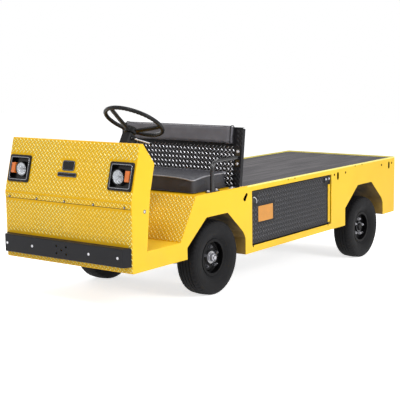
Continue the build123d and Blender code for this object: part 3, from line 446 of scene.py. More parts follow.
yellowDeep, yellowDust, blackDust = (242, 188, 24), (222, 184, 74), (42, 41, 42)
finishRows = [
    # name, slot, kind, its colours and values, other values by name
    # the rim colour is a painted highlight on the deck rim behind the seat box
    ("yellow", "yellow_paint", enamelFinish, [(249, 202, 36), yellowDeep, yellowDust, 0.36],
     {"rim": (255, 240, 132)}),
    # tread panels' yellow, painted deeper than the body's as painted shade between the bars
    ("shadedTreadYellow", "yellow_paint", enamelFinish, [(241, 187, 14), yellowDeep, yellowDust, 0.4, 0.16], {}),
    # bars painted paler than their panel: painted highlight
    ("barYellow", "yellow_paint", enamelFinish, [(255, 240, 135), (249, 202, 36), yellowDust, 0.22], {}),
    # skirts round the bars' feet painted darker: painted shadow
    ("skirtYellow", "yellow_paint", enamelFinish, [(196, 142, 4), yellowDeep, yellowDust, 0.5], {}),
    ("black", "black_paint", enamelFinish, [(25, 25, 28), (28, 28, 31), blackDust, 0.38, 0.16, 0.0], {}),
    ("wheelBlack", "black_paint", enamelFinish,
     [(10, 10, 12), (14, 14, 16), (24, 23, 23), 0.24, 0.05, 0.05], {}),
    ("bumperBlack", "black_paint", enamelFinish,
     [(32, 32, 35), (38, 38, 41), (46, 45, 46), 0.4, 0.16, 0.0], {}),
    ("tubeBlack", "black_paint", enamelFinish,
     [(19, 19, 21), (25, 25, 27), (34, 33, 34), 0.18, 0.36, 0.4], {}),
    ("arch", "yellow_paint", archFinish, [(160, 128, 60), (26, 23, 20)], {}),
    ("deck", "deck_coat", deckFinish, [(40, 38, 42), (102, 98, 100)], {}),
    ("vinyl", "vinyl", vinylFinish, [(48, 48, 53), (62, 61, 67)], {}),
    # the pad's vinyl painted lighter than the cushion's: painted highlight for the light and sheen it catches
    ("litPadVinyl", "vinyl", vinylFinish, [(96, 95, 100), (116, 114, 120)], {}),
    ("rubber", "tyre_rubber", rubberFinish, [(19, 19, 21), (40, 39, 38)], {}),
    # piping painted light grey: painted highlight along the vinyl's top edges
    ("piping", "vinyl", plainFinish, [(146, 146, 151), 0.24], {"grainScale": 700.0, "mottle": 0.1}),
    # near black: on the tread skirts a painted shadow round the bars' feet, round the doors painted shade of
    # the gap
    ("skirtBlack", "black_plastic", plainFinish, [(16, 16, 18), 0.6], {}),
    # flat black for holes and slots: painted shade of their insides
    ("holeBlack", "black_plastic", plainFinish, [(3, 3, 3), 0.9], {"Specular_IOR_Level": 0.0}),
    # seat back bars painted light metallic grey: painted highlight
    ("barBlack", "black_paint", plainFinish, [(168, 168, 172), 0.28, 0.75], {"mottle": 0.2}),
    # door bars painted lighter than the door: painted highlight
    ("barDoor", "black_paint", plainFinish, [(62, 61, 66), 0.34, 0.3], {"mottle": 0.15}),
    ("glossBlack", "black_plastic", plainFinish, [(9, 9, 11), 0.22],
     {"mottle": 0.05, "Coat_Weight": 0.2, "Specular_IOR_Level": 0.2}),
    ("plastic", "black_plastic", plainFinish, [(13, 13, 15), 0.36],
     {"Specular_IOR_Level": 0.22, "grainScale": 600.0}),
    ("frameBead", "lamp_surround", plainFinish, [(150, 151, 156), 0.22, 0.9], {"mottle": 0.05}),
    ("zinc", "steel", plainFinish, [(214, 214, 219), 0.3, 0.6], {"mottle": 0.05}),
    ("zincWheel", "steel", plainFinish, [(178, 178, 184), 0.34, 0.6], {"mottle": 0.05}),
    ("nutSteel", "steel", plainFinish, [(92, 92, 97), 0.3, 0.7], {"mottle": 0.05}),
    ("steel", "steel", plainFinish, [(158, 158, 161), 0.3, 1.0], {}),
    ("darkSteel", "steel", plainFinish, [(92, 92, 95), 0.42, 0.8], {}),
    ("chrome", "steel", plainFinish, [(150, 151, 156), 0.18, 1.0], {"mottle": 0.03}),
    # seam strip painted dark brown: painted shade under the brow's flange
    ("seamShade", "black_plastic", plainFinish, [(128, 90, 22), 0.6], {}),
    ("amber", "lamp_amber", plainFinish, [(235, 120, 30), 0.18], {"mottle": 0.05, "Coat_Weight": 0.6}),
    ("red", "lamp_red", plainFinish, [(138, 8, 8), 0.2],
     {"mottle": 0.05, "Coat_Weight": 0.15, "Specular_IOR_Level": 0.3}),
    ("labelOrange", "lamp_amber", plainFinish, [(214, 146, 62), 0.5], {"mottle": 0.04}),
    ("battery", "battery_case", plainFinish, [(44, 44, 48), 0.5], {}),
    ("reflector", "lamp_clear", plainFinish, [(225, 226, 230), 0.22, 0.9], {"mottle": 0.05}),
    ("glass", "lamp_clear", plainFinish, [(236, 238, 240), 0.08],
     {"mottle": 0.02, "Transmission_Weight": 0.85, "IOR": 1.45}),
]
coats = {name: kind(name + "Finish", *values, **more) for name, _, kind, values, more in finishRows}
cadFinish = {
    "yellow": "side_panel_left side_panel_right dash_panel floor_pan rear_panel deck_bearers",
    "shadedTreadYellow": "front_panel_upper front_panel_lower seat_base",
    "arch": "wheel_arches",
    "black": "seat_back_panel chassis_frame tow_hitch battery_door_left battery_door_right "
             "front_axle rear_axle leaf_springs pedals door_hinges",
    "tubeBlack": "hip_restraints",
    "bumperBlack": "front_bumper",
    "wheelBlack": "wheel_front_left wheel_front_right wheel_rear_left wheel_rear_right",
    "deck": "deck_plate",
    "plastic": "steering_column",
    "darkSteel": "knuckle_left knuckle_right tie_rod drag_link pitman_arm",
    "battery": "battery_pack",
    "red": "tail_lamps",
    "amber": "turn_lenses",
    "glass": "headlamp_lenses",
    "glossBlack": "lamp_bezels",
}
for finish, names in cadFinish.items():
    for name in names.split():
        for slot in nodes[name].material_slots:
            slot.material = coats[finish]
print("materials made:", len(coats))

# Tread plate: raised bars on a square lattice, turned alternately to both diagonals; most bars are painted
# lighter than their panel as a painted highlight, each on a flat skirt painted darker as its shadow
treadPlate = {
    "pitch": 0.0298,
    "length": 0.0266,
    "width": 0.0080,
    "height": 0.0028,
    "skirt": 0.0018,
    "lift": 0.0001,  # the skirt's height over the panel
    "reach": 0.36,  # share of a bar's length that keeps clear of a blank
    "bar": [  # shares of half the length, half the width and the height: the foot's ring, then the ridge
        (-1, 0, 0), (-0.62, 0.78, 0), (0, 1, 0), (0.62, 0.78, 0), (-0.62, -0.78, 0), (0, -1, 0),
        (0.62, -0.78, 0), (1, 0, 0), (-0.58, 0, 0.85), (0, 0, 1), (0.58, 0, 0.85),
    ],
    "ring": (0, 4, 5, 6, 7, 3, 2, 1),
    "triangles": [(0, 8, 1), (3, 10, 7), (0, 4, 8), (6, 7, 10)],
    "quads": [(1, 8, 9, 2), (2, 9, 10, 3), (4, 5, 9, 8), (5, 6, 10, 9)],
}
backUp = (-0.12533, 0, 0.99211)
treadPanels = [
    # name, body, finishes, middle, along, up, half width, low, high, blanks (y0, y1, s0, s1)
    ("brow", "truck_body", "barYellow skirtYellow", (0.791, 0, 0.467), (0, 1, 0), (-0.083, 0, 0.317),
     0.495, 0.006, 0.322, [(0.3105, 0.4855, 0.062, 0.224), (-0.4855, -0.3105, 0.062, 0.224),
                           (-0.055, 0.041, 0.150, 0.211), (-0.084, 0.064, 0.115, 0.141)]),
    ("flange", "truck_body", "barYellow skirtYellow", (0.791, 0, 0.434), (0, 1, 0), (0, 0, 1),
     0.495, 0.0, 0.028, []),
    ("nose", "truck_body", "barYellow skirtYellow", (0.788, 0, 0.0), (0, 1, 0), (0, 0, 1),
     0.495, 0.079, 0.433, [(-0.463, 0.463, 0.108, 0.222), (-0.5, 0.5, 0.429, 0.434)]),
    ("seat_front", "truck_body", "barYellow skirtYellow", (0.359, 0, 0.181), (0, 1, 0), (-0.154, 0, 0.257),
     0.492, 0.004, 0.294, []),
    ("seat_back", "truck_body", "barBlack skirtBlack", (-0.24, 0, 0.438), (0, 1, 0), backUp,
     0.495, 0.006, 0.366, [(-0.436, 0.436, 0.262, 0.384), (0.452, 0.488, 0.125, 0.242),
                           (-0.488, -0.452, 0.125, 0.242), (0.446, 0.5, 0, 0.4), (-0.5, -0.446, 0, 0.4)]),
    ("seat_back_edges", "truck_body", "black skirtBlack", (-0.24, 0, 0.438), (0, 1, 0), backUp,
     0.495, 0.006, 0.366, [(-0.446, 0.446, 0, 0.4), (0.452, 0.488, 0.125, 0.242),
                           (-0.488, -0.452, 0.125, 0.242)]),
    ("door_left", "door_left", "barDoor skirtBlack", (-0.887, 0.483, 0), (-1, 0, 0), (0, 0, 1),
     0.489, 0.060, 0.383, [(0.418, 0.5, 0.335, 0.392), (-0.5, -0.44, 0.300, 0.375),
                           (-0.422, -0.243, 0.183, 0.290), (0.470, 0.5, 0, 0.4)]),
    ("door_right", "door_right", "barDoor skirtBlack", (-0.887, -0.483, 0), (1, 0, 0), (0, 0, 1),
     0.489, 0.060, 0.383, [(-0.5, -0.418, 0.335, 0.392), (0.44, 0.5, 0.300, 0.375),
                           (-0.5, -0.470, 0, 0.4)]),
]


def inside(places, y0, y1, s0, s1, margin):
    # true for the places between the limits, widened by the margin
    y, s = places.T
    return (y > y0 - margin) & (y < y1 + margin) & (s > s0 - margin) & (s < s1 + margin)


def treadShape(middle, along, up, halfWidth, low, high, blanks):
    # lattice centres inside the panel, each with a low ridged bar on a flat skirt, the skirt a sheet of
    # painted shadow round the bar's foot, cut at the panel's edges; gives the shape and 1 for each face of a
    # skirt
    along, up = unit(along), unit(up)
    outward = np.cross(along, up)
    pitch, reach = treadPlate["pitch"], treadPlate["length"] * treadPlate["reach"]
    across, rise = int(halfWidth / pitch) + 2, int((high - low) / pitch) + 2
    i, j = np.meshgrid(np.arange(-across, across + 1), np.arange(-1, rise + 1), indexing="ij")
    first = np.stack([i.ravel(), j.ravel()], -1) * pitch + (0, low)
    centres = np.concatenate([first, first + pitch / 2])
    slant = np.repeat([1.0, -1.0], len(first))
    keep = inside(centres, -halfWidth, halfWidth, low, high, reach / 2)
    for blank in blanks:
        keep &= ~inside(centres, *blank, reach)
    centres, slant = centres[keep], slant[keep, None]
    size = np.array([treadPlate["length"] / 2, treadPlate["width"] / 2, treadPlate["height"]])
    bar = np.array(treadPlate["bar"]) * size
    foot = len(treadPlate["ring"])
    s, t, h = np.concatenate([bar, bar[:foot] * (1 + treadPlate["skirt"] / size)]).T
    x = centres[:, :1] + (s - t * slant) * math.sqrt(0.5)
    y = centres[:, 1:] + (s * slant + t) * math.sqrt(0.5)
    x, y = np.clip(x, -halfWidth, halfWidth), np.clip(y, low, high)
    points = np.array(middle) + x[..., None] * along + y[..., None] * up
    points = points + (h + treadPlate["lift"])[:, None] * outward
    ring = np.array(treadPlate["ring"])
    after = np.roll(ring, -1)
    skirts = np.stack([ring, ring + len(bar), after + len(bar), after], -1)
    steps = np.arange(len(centres))[:, None, None] * len(s)
    groups = []  # the second diagonal's bars are mirror images, so their faces are turned round
    for corners in (np.array(treadPlate["triangles"]), np.array(treadPlate["quads"]), skirts):
        group = corners + steps
        groups.append(np.where(slant[..., None] > 0, group, group[..., ::-1]).reshape(-1, group.shape[-1]))
    isSkirt = np.repeat([0, 0, 1], [len(group) for group in groups])
    return (points.reshape(-1, 3), groups), isSkirt


for name, rides, finish, *panel in treadPanels:
    shape, isSkirt = treadShape(*panel)
    makePiece("tread_" + name, shape, finish, rides, crease=20, closed=False, faceFinish=isSkirt)
print("tread plate done")

# Tyres: a section with zigzag grooves, notched shoulders and fine rings on the walls
tyreLook = {
    "steps": 288,
    "radius": 0.2325,
    "half": 0.0725,
    "bead": (0.1018, 0.1163, 0.0435),  # seat radius, flange radius, half width there
    "wall": [(0.77, 0.993), (0.925, 0.925)],  # places on the section, shares of radius and half width
    "wallPoints": 46,
    "shoulder": [(0.973, 0.8), (0.988, 0.58)],
    "shoulderPoints": 9,
    "crown": 0.012,  # drop at the shoulders, a share of the radius
    "grooves": (0.46, 0.165, -0.165, -0.46),  # middles, shares of the half width
    "land": 0.15,  # from a groove's middle to the middle of the rib beside it
    "floor": 0.0017,  # half width of a groove's floor
    "slope": 0.0013,
    "depth": 0.0062,
    "zigs": 48,
    "zig": 0.0017,
    "notch": 0.0034,
    "notchShares": (0.0, 0.7, 1, 1, 1, 0.8, 0.3),  # of the notch's depth, over the shoulder
    "notchSteps": (1, 2),
    "rings": [  # radius, height, width
        (0.137, 0.0012, 0.0014), (0.146, 0.0008, 0.0010), (0.196, 0.0009, 0.0012), (0.2085, 0.0013, 0.0016),
    ],
}


def arcThrough(first, middle, last, count):
    # points on the circle through three points, from the first to the last
    (ax, ay), (bx, by), (cx, cy) = first, middle, last
    d = 2 * (ax * (by - cy) + bx * (cy - ay) + cx * (ay - by))
    a, b, c = ax * ax + ay * ay, bx * bx + by * by, cx * cx + cy * cy
    ux = (a * (by - cy) + b * (cy - ay) + c * (ay - by)) / d
    uy = (a * (cx - bx) + b * (ax - cx) + c * (bx - ax)) / d
    turn = np.unwrap([math.atan2(y - uy, x - ux) for x, y in (first, middle, last)])
    angle = np.linspace(turn[0], turn[2], count)
    return np.column_stack([np.cos(angle), np.sin(angle)]) * math.hypot(ax - ux, ay - uy) + (ux, uy)


def tyreSection():
    # rows of (radius, distance from the tread's middle, groove depth, share of the zigzag, notch)
    t = tyreLook
    size = np.array([t["radius"], t["half"]])
    seatR, flangeR, beadY = t["bead"]
    wallMiddle, edge, shoulderMiddle, crownEdge = np.array(t["wall"] + t["shoulder"]) * size
    wall = arcThrough((flangeR, beadY), wallMiddle, edge, t["wallPoints"])
    wall[:, 1] += sum(height * np.exp(-(((wall[:, 0] - at) / wide) ** 2)) for at, height, wide in t["rings"])
    shoulder = arcThrough(edge, shoulderMiddle, crownEdge, t["shoulderPoints"])
    half = np.vstack([[(seatR, beadY)], wall, shoulder[1:]])
    half = np.column_stack([half, np.zeros((len(half), 3))])
    start = t["wallPoints"] + 1
    half[start:start + len(t["notchShares"]), 4] = t["notchShares"]
    crown = []
    for groove in t["grooves"]:
        middle, foot, lip = groove * size[1], t["floor"], t["floor"] + t["slope"]
        crown += [(middle + lip, 0, 1), (middle + foot, 1, 1), (middle - foot, 1, 1), (middle - lip, 0, 1)]
        if groove != t["grooves"][-1]:
            crown.append(((groove - t["land"]) * size[1], 0, 0))
    crown = np.array(crown)
    radius = size[0] - (crown[:, 0] / crownEdge[1]) ** 2 * t["crown"] * size[0]
    crown = np.column_stack([radius, crown, np.zeros(len(crown))])
    return np.vstack([half, crown, half[::-1] * (1, -1, 1, 1, 1)]).T


def tyreShape(hub, side):
    # arrays over (turn, place in the section): the section's own radius, less the grooves' depth
    # and the shoulders' notches, and its distance, moved to and fro by the zigzag
    t = tyreLook
    sectionR, sectionY, depth, share, notch = tyreSection()
    step = np.arange(t["steps"])[:, None]
    period = t["steps"] // t["zigs"]
    zig = (np.abs(step % period / period - 0.5) * 4 - 1) * t["zig"]
    cut = np.isin(step % period, t["notchSteps"]) * t["notch"]
    radius = sectionR - depth * t["depth"] - cut * notch
    distance = (sectionY + zig * share) * side
    angle = step * 2 * math.pi / t["steps"]
    points = np.stack([radius * np.cos(angle), distance, radius * np.sin(angle)], -1)
    return gridShape(points + hub, closeU=True, closeV=True)


# Wheels: nuts on the flat of each disc, hub ring and dust cap, valve
wheelTrim = {
    "discOut": 0.0181,
    "nut": (0.0205, 0.013),  # across flats, height
    "nuts": 5,
    "cone": [(0.0125, 0), (0.0108, 0.0028), (0.0095, 0.003), (0, 0.003)],
    "stud": [(0.0055, 0.012), (0.0055, 0.018), (0.0045, 0.019), (0, 0.019)],
    "valve": [(0.0052, 0), (0.0046, 0.012), (0.0034, 0.016), (0.0034, 0.026), (0.0026, 0.0285), (0, 0.0285)],
    "valvePlace": (0.089, -38, 0.004),
    "ends": {  # hub, radius of the nuts' circle, angle of the first nut, finishes of nuts and hub ring
        "front": (truck["frontHub"], 0.064, 90, "nutSteel", "steel"),
        "rear": (truck["rearHub"], 0.059, 8, "zincWheel", "darkSteel"),
    },
    "ring": {
        "front": [(0.0250, 0.0304), (0.0368, 0.0304), (0.0376, 0.0312), (0.0390, 0.0306), (0.0428, 0.0184),
                  (0.0428, 0.0170), (0.0250, 0.0170), (0.0250, 0.0304)],
        "rear": [(0.0285, 0.0304), (0.0368, 0.0304), (0.0376, 0.0311), (0.0388, 0.0304), (0.0385, 0.0290),
                 (0.0285, 0.0290), (0.0285, 0.0304)],
    },
    "cap": [(0.0247, 0.0302), (0.0262, 0.0306), (0.0262, 0.0326), (0.0247, 0.0334), (0.0247, 0.0520),
            (0.0233, 0.0562), (0.0196, 0.0590), (0.0120, 0.0601), (0, 0.0604), (0, 0.0302), (0.0247, 0.0302)],
}


def onDisc(hub, side, radius, angle, out):
    # place on a wheel's face, angle from rearwards, rising, seen from outside
    turn = math.radians(angle)
    return hub + (-radius * math.cos(turn), side * out, radius * math.sin(turn))


def nutShape():
    cone, stud = turned(wheelTrim["cone"], count=20), turned(wheelTrim["stud"], count=12)
    return join(cone, boltHead(*wheelTrim["nut"]), stud)


for end, (hub, circleR, firstAngle, nutFinish, ringFinish) in wheelTrim["ends"].items():
    for side, hand in hands:
        corner, body = f"{end}_{hand}", f"{end}_wheel_{hand}"
        centre, outwards = np.array(hub) * (1, side, 1), (0, side, 0)
        makePiece(f"tyre_{corner}_treaded", tyreShape(centre, side), "rubber", body,
                  replaces=f"tyre_{corner}", crease=28)
        angles = firstAngle + np.arange(wheelTrim["nuts"]) * 360 / wheelTrim["nuts"]
        spots = [onDisc(centre, side, circleR, angle, wheelTrim["discOut"]) for angle in angles]
        nuts = copies(nutShape(), placements(spots, (1, 0, 0), (0, 0, -side), outwards))
        makePiece(f"nuts_{corner}", nuts, nutFinish, body)
        radius, angle, out = wheelTrim["valvePlace"]
        valve = turned(wheelTrim["valve"], onDisc(centre, side, radius, angle, out), (0.32, side, 0.18), 14)
        makePiece(f"valve_{corner}", valve, "zincWheel", body, closed=False)
        hubRing = turned(wheelTrim["ring"][end], centre, outwards, 64)
        makePiece(f"hub_ring_{corner}", hubRing, ringFinish, body)
        if end == "front":
            makePiece(f"dust_cap_{corner}", turned(wheelTrim["cap"], centre, outwards, 64), "zincWheel", body)
print("tyres and wheels done")

# Steering wheel: grip with finger ridges, three ridged spokes, dished hub, and the lever beside it
rake = math.radians(30.7)
steering = {
    "centre": (0.432, 0.221, 0.882),
    "rimR": 0.174,
    "gripR": 0.0121,
    "ridges": 48,
    "ridgeDepth": 0.0016,
    "ridgeFrom": math.radians(215),  # middle of the ridged side, round the grip's section
    "spokes": (15, 135, 255),
    "spokeFoot": 0.022,
    "spokeTip": 0.171,
    "spokeDrop": (-0.055, 0.052),  # height of the foot, rise to the tip
    "spokeBow": 1.12,
    "spokeWide": (0.0175, 0.0035),  # half width at the foot, loss towards the tip
    "spokeThick": 0.0235,
    "spokeSection": [(-1, -0.30), (-0.86, -0.36), (0.86, -0.36), (1, -0.30), (1, 0.02), (0.8, 0.10),
                     (0.34, 0.12), (0.22, 0.40), (-0.22, 0.40), (-0.34, 0.12), (-0.8, 0.10), (-1, 0.02)],
    "hub": [(0, -0.074), (0.033, -0.074), (0.0355, -0.070), (0.0350, -0.046), (0.0325, -0.040),
            (0.0270, -0.0375), (0.0255, -0.0395), (0.0245, -0.0395), (0.0235, -0.0365), (0.0160, -0.0345),
            (0, -0.034)],
    "stem": [(0.0078, -0.124), (0.0078, -0.074), (0, -0.074), (0, -0.124), (0.0078, -0.124)],
}
columnUp = np.array([-math.sin(rake), 0, math.cos(rake)])
columnSide = np.array([0.0, 1.0, 0.0])
columnBack = np.cross(columnUp, columnSide)
lever = {
    "root": (0.029, -0.006, -0.108),  # along the column's side, back and up
    "reach": (-0.062, 0.096, -0.034),
    "rodR": 0.0044,
    "knobR": 0.0096,
    "boot": [(0.0125, 0.004), (0.0118, 0.010), (0.0095, 0.011), (0.0090, 0.015), (0.0072, 0.016),
             (0.0066, 0.020), (0.0046, 0.021)],
}


def rimShape():
    # a ring whose section radius dips between the finger ridges, only on its inner and lower side
    s = steering
    count = s["ridges"] * 6
    turn = np.arange(count)[:, None] * 2 * math.pi / count
    angle = np.arange(20) * 2 * math.pi / 20
    facing = np.clip(np.cos(angle - s["ridgeFrom"]) * 1.4, 0, 1)
    dip = (0.5 - 0.5 * np.cos(turn * s["ridges"])) ** 3
    section = s["gripR"] - s["ridgeDepth"] * dip * facing
    out, lift = s["rimR"] + section * np.cos(angle), section * np.sin(angle)
    ring = np.cos(turn)[..., None] * columnSide + np.sin(turn)[..., None] * columnBack
    points = np.array(s["centre"]) + out[..., None] * ring + lift[..., None] * columnUp
    return gridShape(points, closeU=True, closeV=True)


def spokeShape(angle):
    # flat bar with a raised ridge, from the hub up to the rim, a little bowed
    turn = math.radians(angle)
    way = math.cos(turn) * columnSide + math.sin(turn) * columnBack
    t = np.linspace(0, 1, 9)[:, None]
    reach = steering["spokeFoot"] + (steering["spokeTip"] - steering["spokeFoot"]) * t
    foot, rise = steering["spokeDrop"]
    drop = foot + rise * t ** steering["spokeBow"]
    path = np.array(steering["centre"]) + reach * way + drop * columnUp
    wide, loss = steering["spokeWide"]
    wide = (wide - loss * t)[:, :, None]
    size = np.concatenate([wide, np.full_like(wide, steering["spokeThick"])], -1)
    return swept(path, np.array(steering["spokeSection"]) * size, columnUp)


spokes = [spokeShape(angle) for angle in steering["spokes"]]
hubShape = turned(steering["hub"], steering["centre"], columnUp, 56)
stem = turned(steering["stem"], steering["centre"], columnUp, 24)
makePiece("steering_wheel_ridged", join(rimShape(), *spokes, hubShape), "plastic", "steering_wheel",
          replaces="steering_wheel", crease=40)
makePiece("steering_stem", stem, "darkSteel", "steering_wheel")
leverRoot = np.array(steering["centre"]) + np.array(lever["root"]) @ (columnSide, columnBack, columnUp)
leverLong, rodR, knobR = math.hypot(*lever["reach"]), lever["rodR"], lever["knobR"]
rod = [(rodR, 0), (rodR, leverLong), (0, leverLong), (0, 0), (rodR, 0)]
knob = [(knobR * math.sin(a), leverLong - knobR * math.cos(a)) for a in np.linspace(0, math.pi, 13)]
makePiece("lever_rod", turned(rod, leverRoot, lever["reach"], 16), "zinc")
makePiece("lever_knob", turned(knob, leverRoot, lever["reach"], 24), "plastic")
boot = turned(lever["boot"], leverRoot, lever["reach"], 20)
makePiece("lever_boot", boot, "rubber", slot="black_plastic", closed=False)
print("steering wheel done")

# Seat: cushion and back pad, swelled by cloth pressure from slightly smaller blocks, with piping
# sewn on afterwards
cushion = {
    "low": np.array([-0.194, -0.439, 0.4385]),
    "high": np.array([0.159, 0.439, 0.5360]),
    "corner": 0.026,
    "edge": 0.007,
    "voxel": 0.0065,
    "pressure": 4.0,
    "cap": 0.0075,
    "fill": 0.85,
    "weltR": 0.0042,
    "welts": (0.534, 0.4465),  # heights of the piping and of the welt at the foot
    "weltInset": 0.001,
    "dip": 0.019,  # how far the front corners sag
    "pull": 0.005,  # how far the sides draw in between the corners
}
backPad = {
    "origin": (-0.240, 0.0, 0.438),
    "up": backUp,
    "out": (0.99211, 0.0, 0.12533),
    "rise": (0.265, 0.379),
    "halfLong": 0.430,
    "thick": 0.036,
    "corner": 0.014,
    "edge": 0.007,
    "voxel": 0.0055,
    "pressure": 4.0,
    "cap": 0.0055,
    "fill": 0.8,
    "weltR": 0.0034,
    "weltY": 0.4275,
    "topWelt": (0.424, 0.3775, 0.0335, 0.0036),  # half length, rise, out, radius
}


def coordinates(mesh):  # the vertices' places as an (n, 3) array
    flat = np.empty(len(mesh.vertices) * 3)
    mesh.vertices.foreach_get("co", flat)
    return flat.reshape(-1, 3)


def evaluated(piece):
    return piece.evaluated_get(bpy.context.evaluated_depsgraph_get())


def swellPad(name, block, look, shapeUp, finish, replaced):
    # block to cloth: voxel remesh, 20 frames of pressure, movement capped, then shapeUp(points)
    pad = shapeObject(name, block, [finish], 1e-6)
    remesh = pad.modifiers.new("remesh", "REMESH")
    remesh.mode, remesh.voxel_size = "VOXEL", look["voxel"]
    fine = bpy.data.meshes.new_from_object(evaluated(pad))
    pad.modifiers.clear()
    pad.data = fine
    start = coordinates(fine)
    cloth = pad.modifiers.new("cloth", "CLOTH")
    cloth.settings.use_pressure = True
    cloth.settings.uniform_pressure_force = look["pressure"]
    cloth.settings.effector_weights.gravity = 0
    cloth.settings.quality = 4
    for frameNumber in range(1, 21):
        bpy.context.scene.frame_set(frameNumber)
    step = coordinates(evaluated(pad).to_mesh()) - start
    pad.modifiers.clear()
    bpy.context.scene.frame_set(1)
    length = np.linalg.norm(step, axis=1, keepdims=True)
    start = start + step * np.minimum(1, look["cap"] / np.maximum(length, 1e-9))
    fine.vertices.foreach_set("co", stand(shapeUp((start - shift) @ lean)).ravel())
    fine.materials.clear()
    fine.materials.append(coats[finish])
    fine.polygons.foreach_set("use_smooth", np.ones(len(fine.polygons), bool))
    smooth = pad.modifiers.new("smooth", "SUBSURF")
    smooth.levels = smooth.render_levels = 1
    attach(pad, "truck_body")
    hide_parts(replaced)


def cushionForm(points):
    # sides drawn in between the corners by the cube of the place across, front corners sagged by
    # its fifth power, foot kept flat on the seat box
    low, high = cushion["low"], cushion["high"]
    x, y, z = points.T
    share = np.clip((points - (low + high) / 2) / ((high - low) / 2), -1, 1)
    u, v = share[:, 0], share[:, 1]
    rise = np.clip((z - low[2]) / (high[2] - low[2]), 0, 1.3)
    pull = cushion["pull"] * (1 - (2 * np.clip(rise, 0, 1) - 1) ** 4)
    x = x - u ** 3 * pull * (1 - v ** 4)
    y = y - v ** 3 * pull * (1 - u ** 4)
    z = z - cushion["dip"] * rise * np.maximum(u, 0) ** 2 * np.abs(v) ** 5
    return np.stack([x, y, np.maximum(z, low[2])], -1)


def cushionBlock():
    low, high = cushion["low"], cushion["high"]
    middle = (low + high) / 2
    (wide, long, high), e = high - low, cushion["edge"]
    levels = [(0, e), (e * 0.3, e * 0.3), (e, 0), (high - e, 0), (high - e * 0.3, e * 0.3), (high, e)]
    points, faces = slab(levels, wide, long, cushion["corner"], share=0.5)
    return points + (*middle[:2], low[2]), faces


def cushionWelt(height):
    # cord along the cushion's outline, its places evenly spaced, drawn in with the cushion
    low, high = cushion["low"], cushion["high"]
    size = high - low - 2 * cushion["weltInset"]
    ring = roundedOutline(size[0], size[1], cushion["corner"], 9) + (low + high)[:2] / 2
    path = np.column_stack([ring, np.full(len(ring), height)])
    path = np.concatenate([path, path[:1]])
    along = np.concatenate([[0], np.cumsum(np.linalg.norm(np.diff(path, axis=0), axis=1))])
    even = np.linspace(0, along[-1], 360, endpoint=False)
    path = cushionForm(np.stack([np.interp(even, along, path[:, k]) for k in range(3)], -1))
    return swept(path, circle(cushion["weltR"], 10), (0, 0, 1), closed=True)


def padBlock():
    e, thick, (low, high) = backPad["edge"], backPad["thick"], backPad["rise"]
    levels = [(0, 0), (thick - e, 0), (thick - e * 0.3, e * 0.3), (thick, e)]
    points, faces = slab(levels, 2 * backPad["halfLong"], high - low, backPad["corner"], share=0.5)
    return onPlane(backPad, points + (0, (low + high) / 2, 0.0008)), faces


def padForm(points):
    local = (points - np.array(backPad["origin"])) @ planeAxes(backPad).T
    local[:, 2] = np.maximum(local[:, 2], 0.0006)  # flat where it rests on the back plate
    return onPlane(backPad, local)


def padWelt(sideY):
    low, high = backPad["rise"]
    ring = roundedOutline(high - low + 0.004, backPad["thick"], 0.010, 7)
    ring = ring + ((low + high) / 2, backPad["thick"] / 2 + 0.002)
    path = onPlane(backPad, np.column_stack([np.full(len(ring), sideY), ring]))
    return swept(path, circle(backPad["weltR"], 10), (0, 1, 0), closed=True)


swellPad("seat_cushion_vinyl", cushionBlock(), cushion, cushionForm, "vinyl", "seat_cushion")
swellPad("backrest_pad_vinyl", padBlock(), backPad, padForm, "litPadVinyl", "backrest_pad")
pipingHeight, footHeight = cushion["welts"]
# the piping's light grey is a painted highlight along the cushion's top edge
makePiece("seat_cushion_piping", cushionWelt(pipingHeight), "piping")
makePiece("seat_cushion_foot_welt", cushionWelt(footHeight), "vinyl")
sideWelts = join(padWelt(backPad["weltY"]), padWelt(-backPad["weltY"]))
makePiece("backrest_piping", sideWelts, "plastic", slot="vinyl")
halfLong, rise, out, weltR = backPad["topWelt"]
topEdge = onPlane(backPad, [(y, rise, out) for y in np.linspace(-halfLong, halfLong, 60)])
# the top welt's light grey is a painted highlight along the pad's top edge
makePiece("backrest_top_welt", swept(topEdge, circle(weltR, 10), backPad["out"]), "piping")
print("seat done")

# Lamps: faceted reflectors behind clear domes, gloss rings, ribbed turn lenses
brow = {
    "origin": (0.791, 0, 0.467),
    "up": (-0.2533, 0, 0.9674),
    "out": (0.9674, 0, 0.2533),
}
lamps = {
    "aim": (math.cos(noseDown), 0, math.sin(noseDown)),
    "spots": [(0.380, 0.138, 0.008), (-0.380, 0.138, 0.008)],
    "radius": 0.0385,
    "dome": 0.0085,
    "wall": 0.0014,
    "depth": 0.0165,
    "steps": 96,  # round each reflector and cover
    "reflectorR": 0.985,  # a share of the radius
    "reflectorRows": (1, 0.24, 19),  # from the rim to the bulb, shares of its radius, and how many
    "facets": (12, 0.0022),  # number and depth
    "bands": (6, 0.0020),
    "coverGap": 0.0002,
    "coverRib": 0.0004,
    "back": (-0.0178, -0.0172),  # the reflector's back and the floor of its hole
    "hole": 0.002,
    "bulb": [(0.0062, -0.0172), (0.0062, -0.0075), (0.0050, -0.0052), (0.0026, -0.0042), (0, -0.0040),
             (0, -0.0172), (0.0062, -0.0172)],
    "collar": [(0.0392, 0.0002), (0.0402, 0.0016), (0.0425, 0.0022), (0.0446, 0.0010), (0.0449, -0.0016),
               (0.0392, -0.0016), (0.0392, 0.0002)],
    "bead": (0.1462, 0.1332, 0.0095),
    "beadPlace": (0.398, 0.143, 0.0078),
    "beadR": 0.0021,
    "turnSpots": [(0.446, 0.145, 0), (-0.446, 0.145, 0)],
    "turnSize": (0.0314, 0.0614),
    "turnLevels": (-0.018, 0.0120),
    "turnCrown": 0.0042,
    "turnFlutes": (8, 0.0008),  # number and depth
}


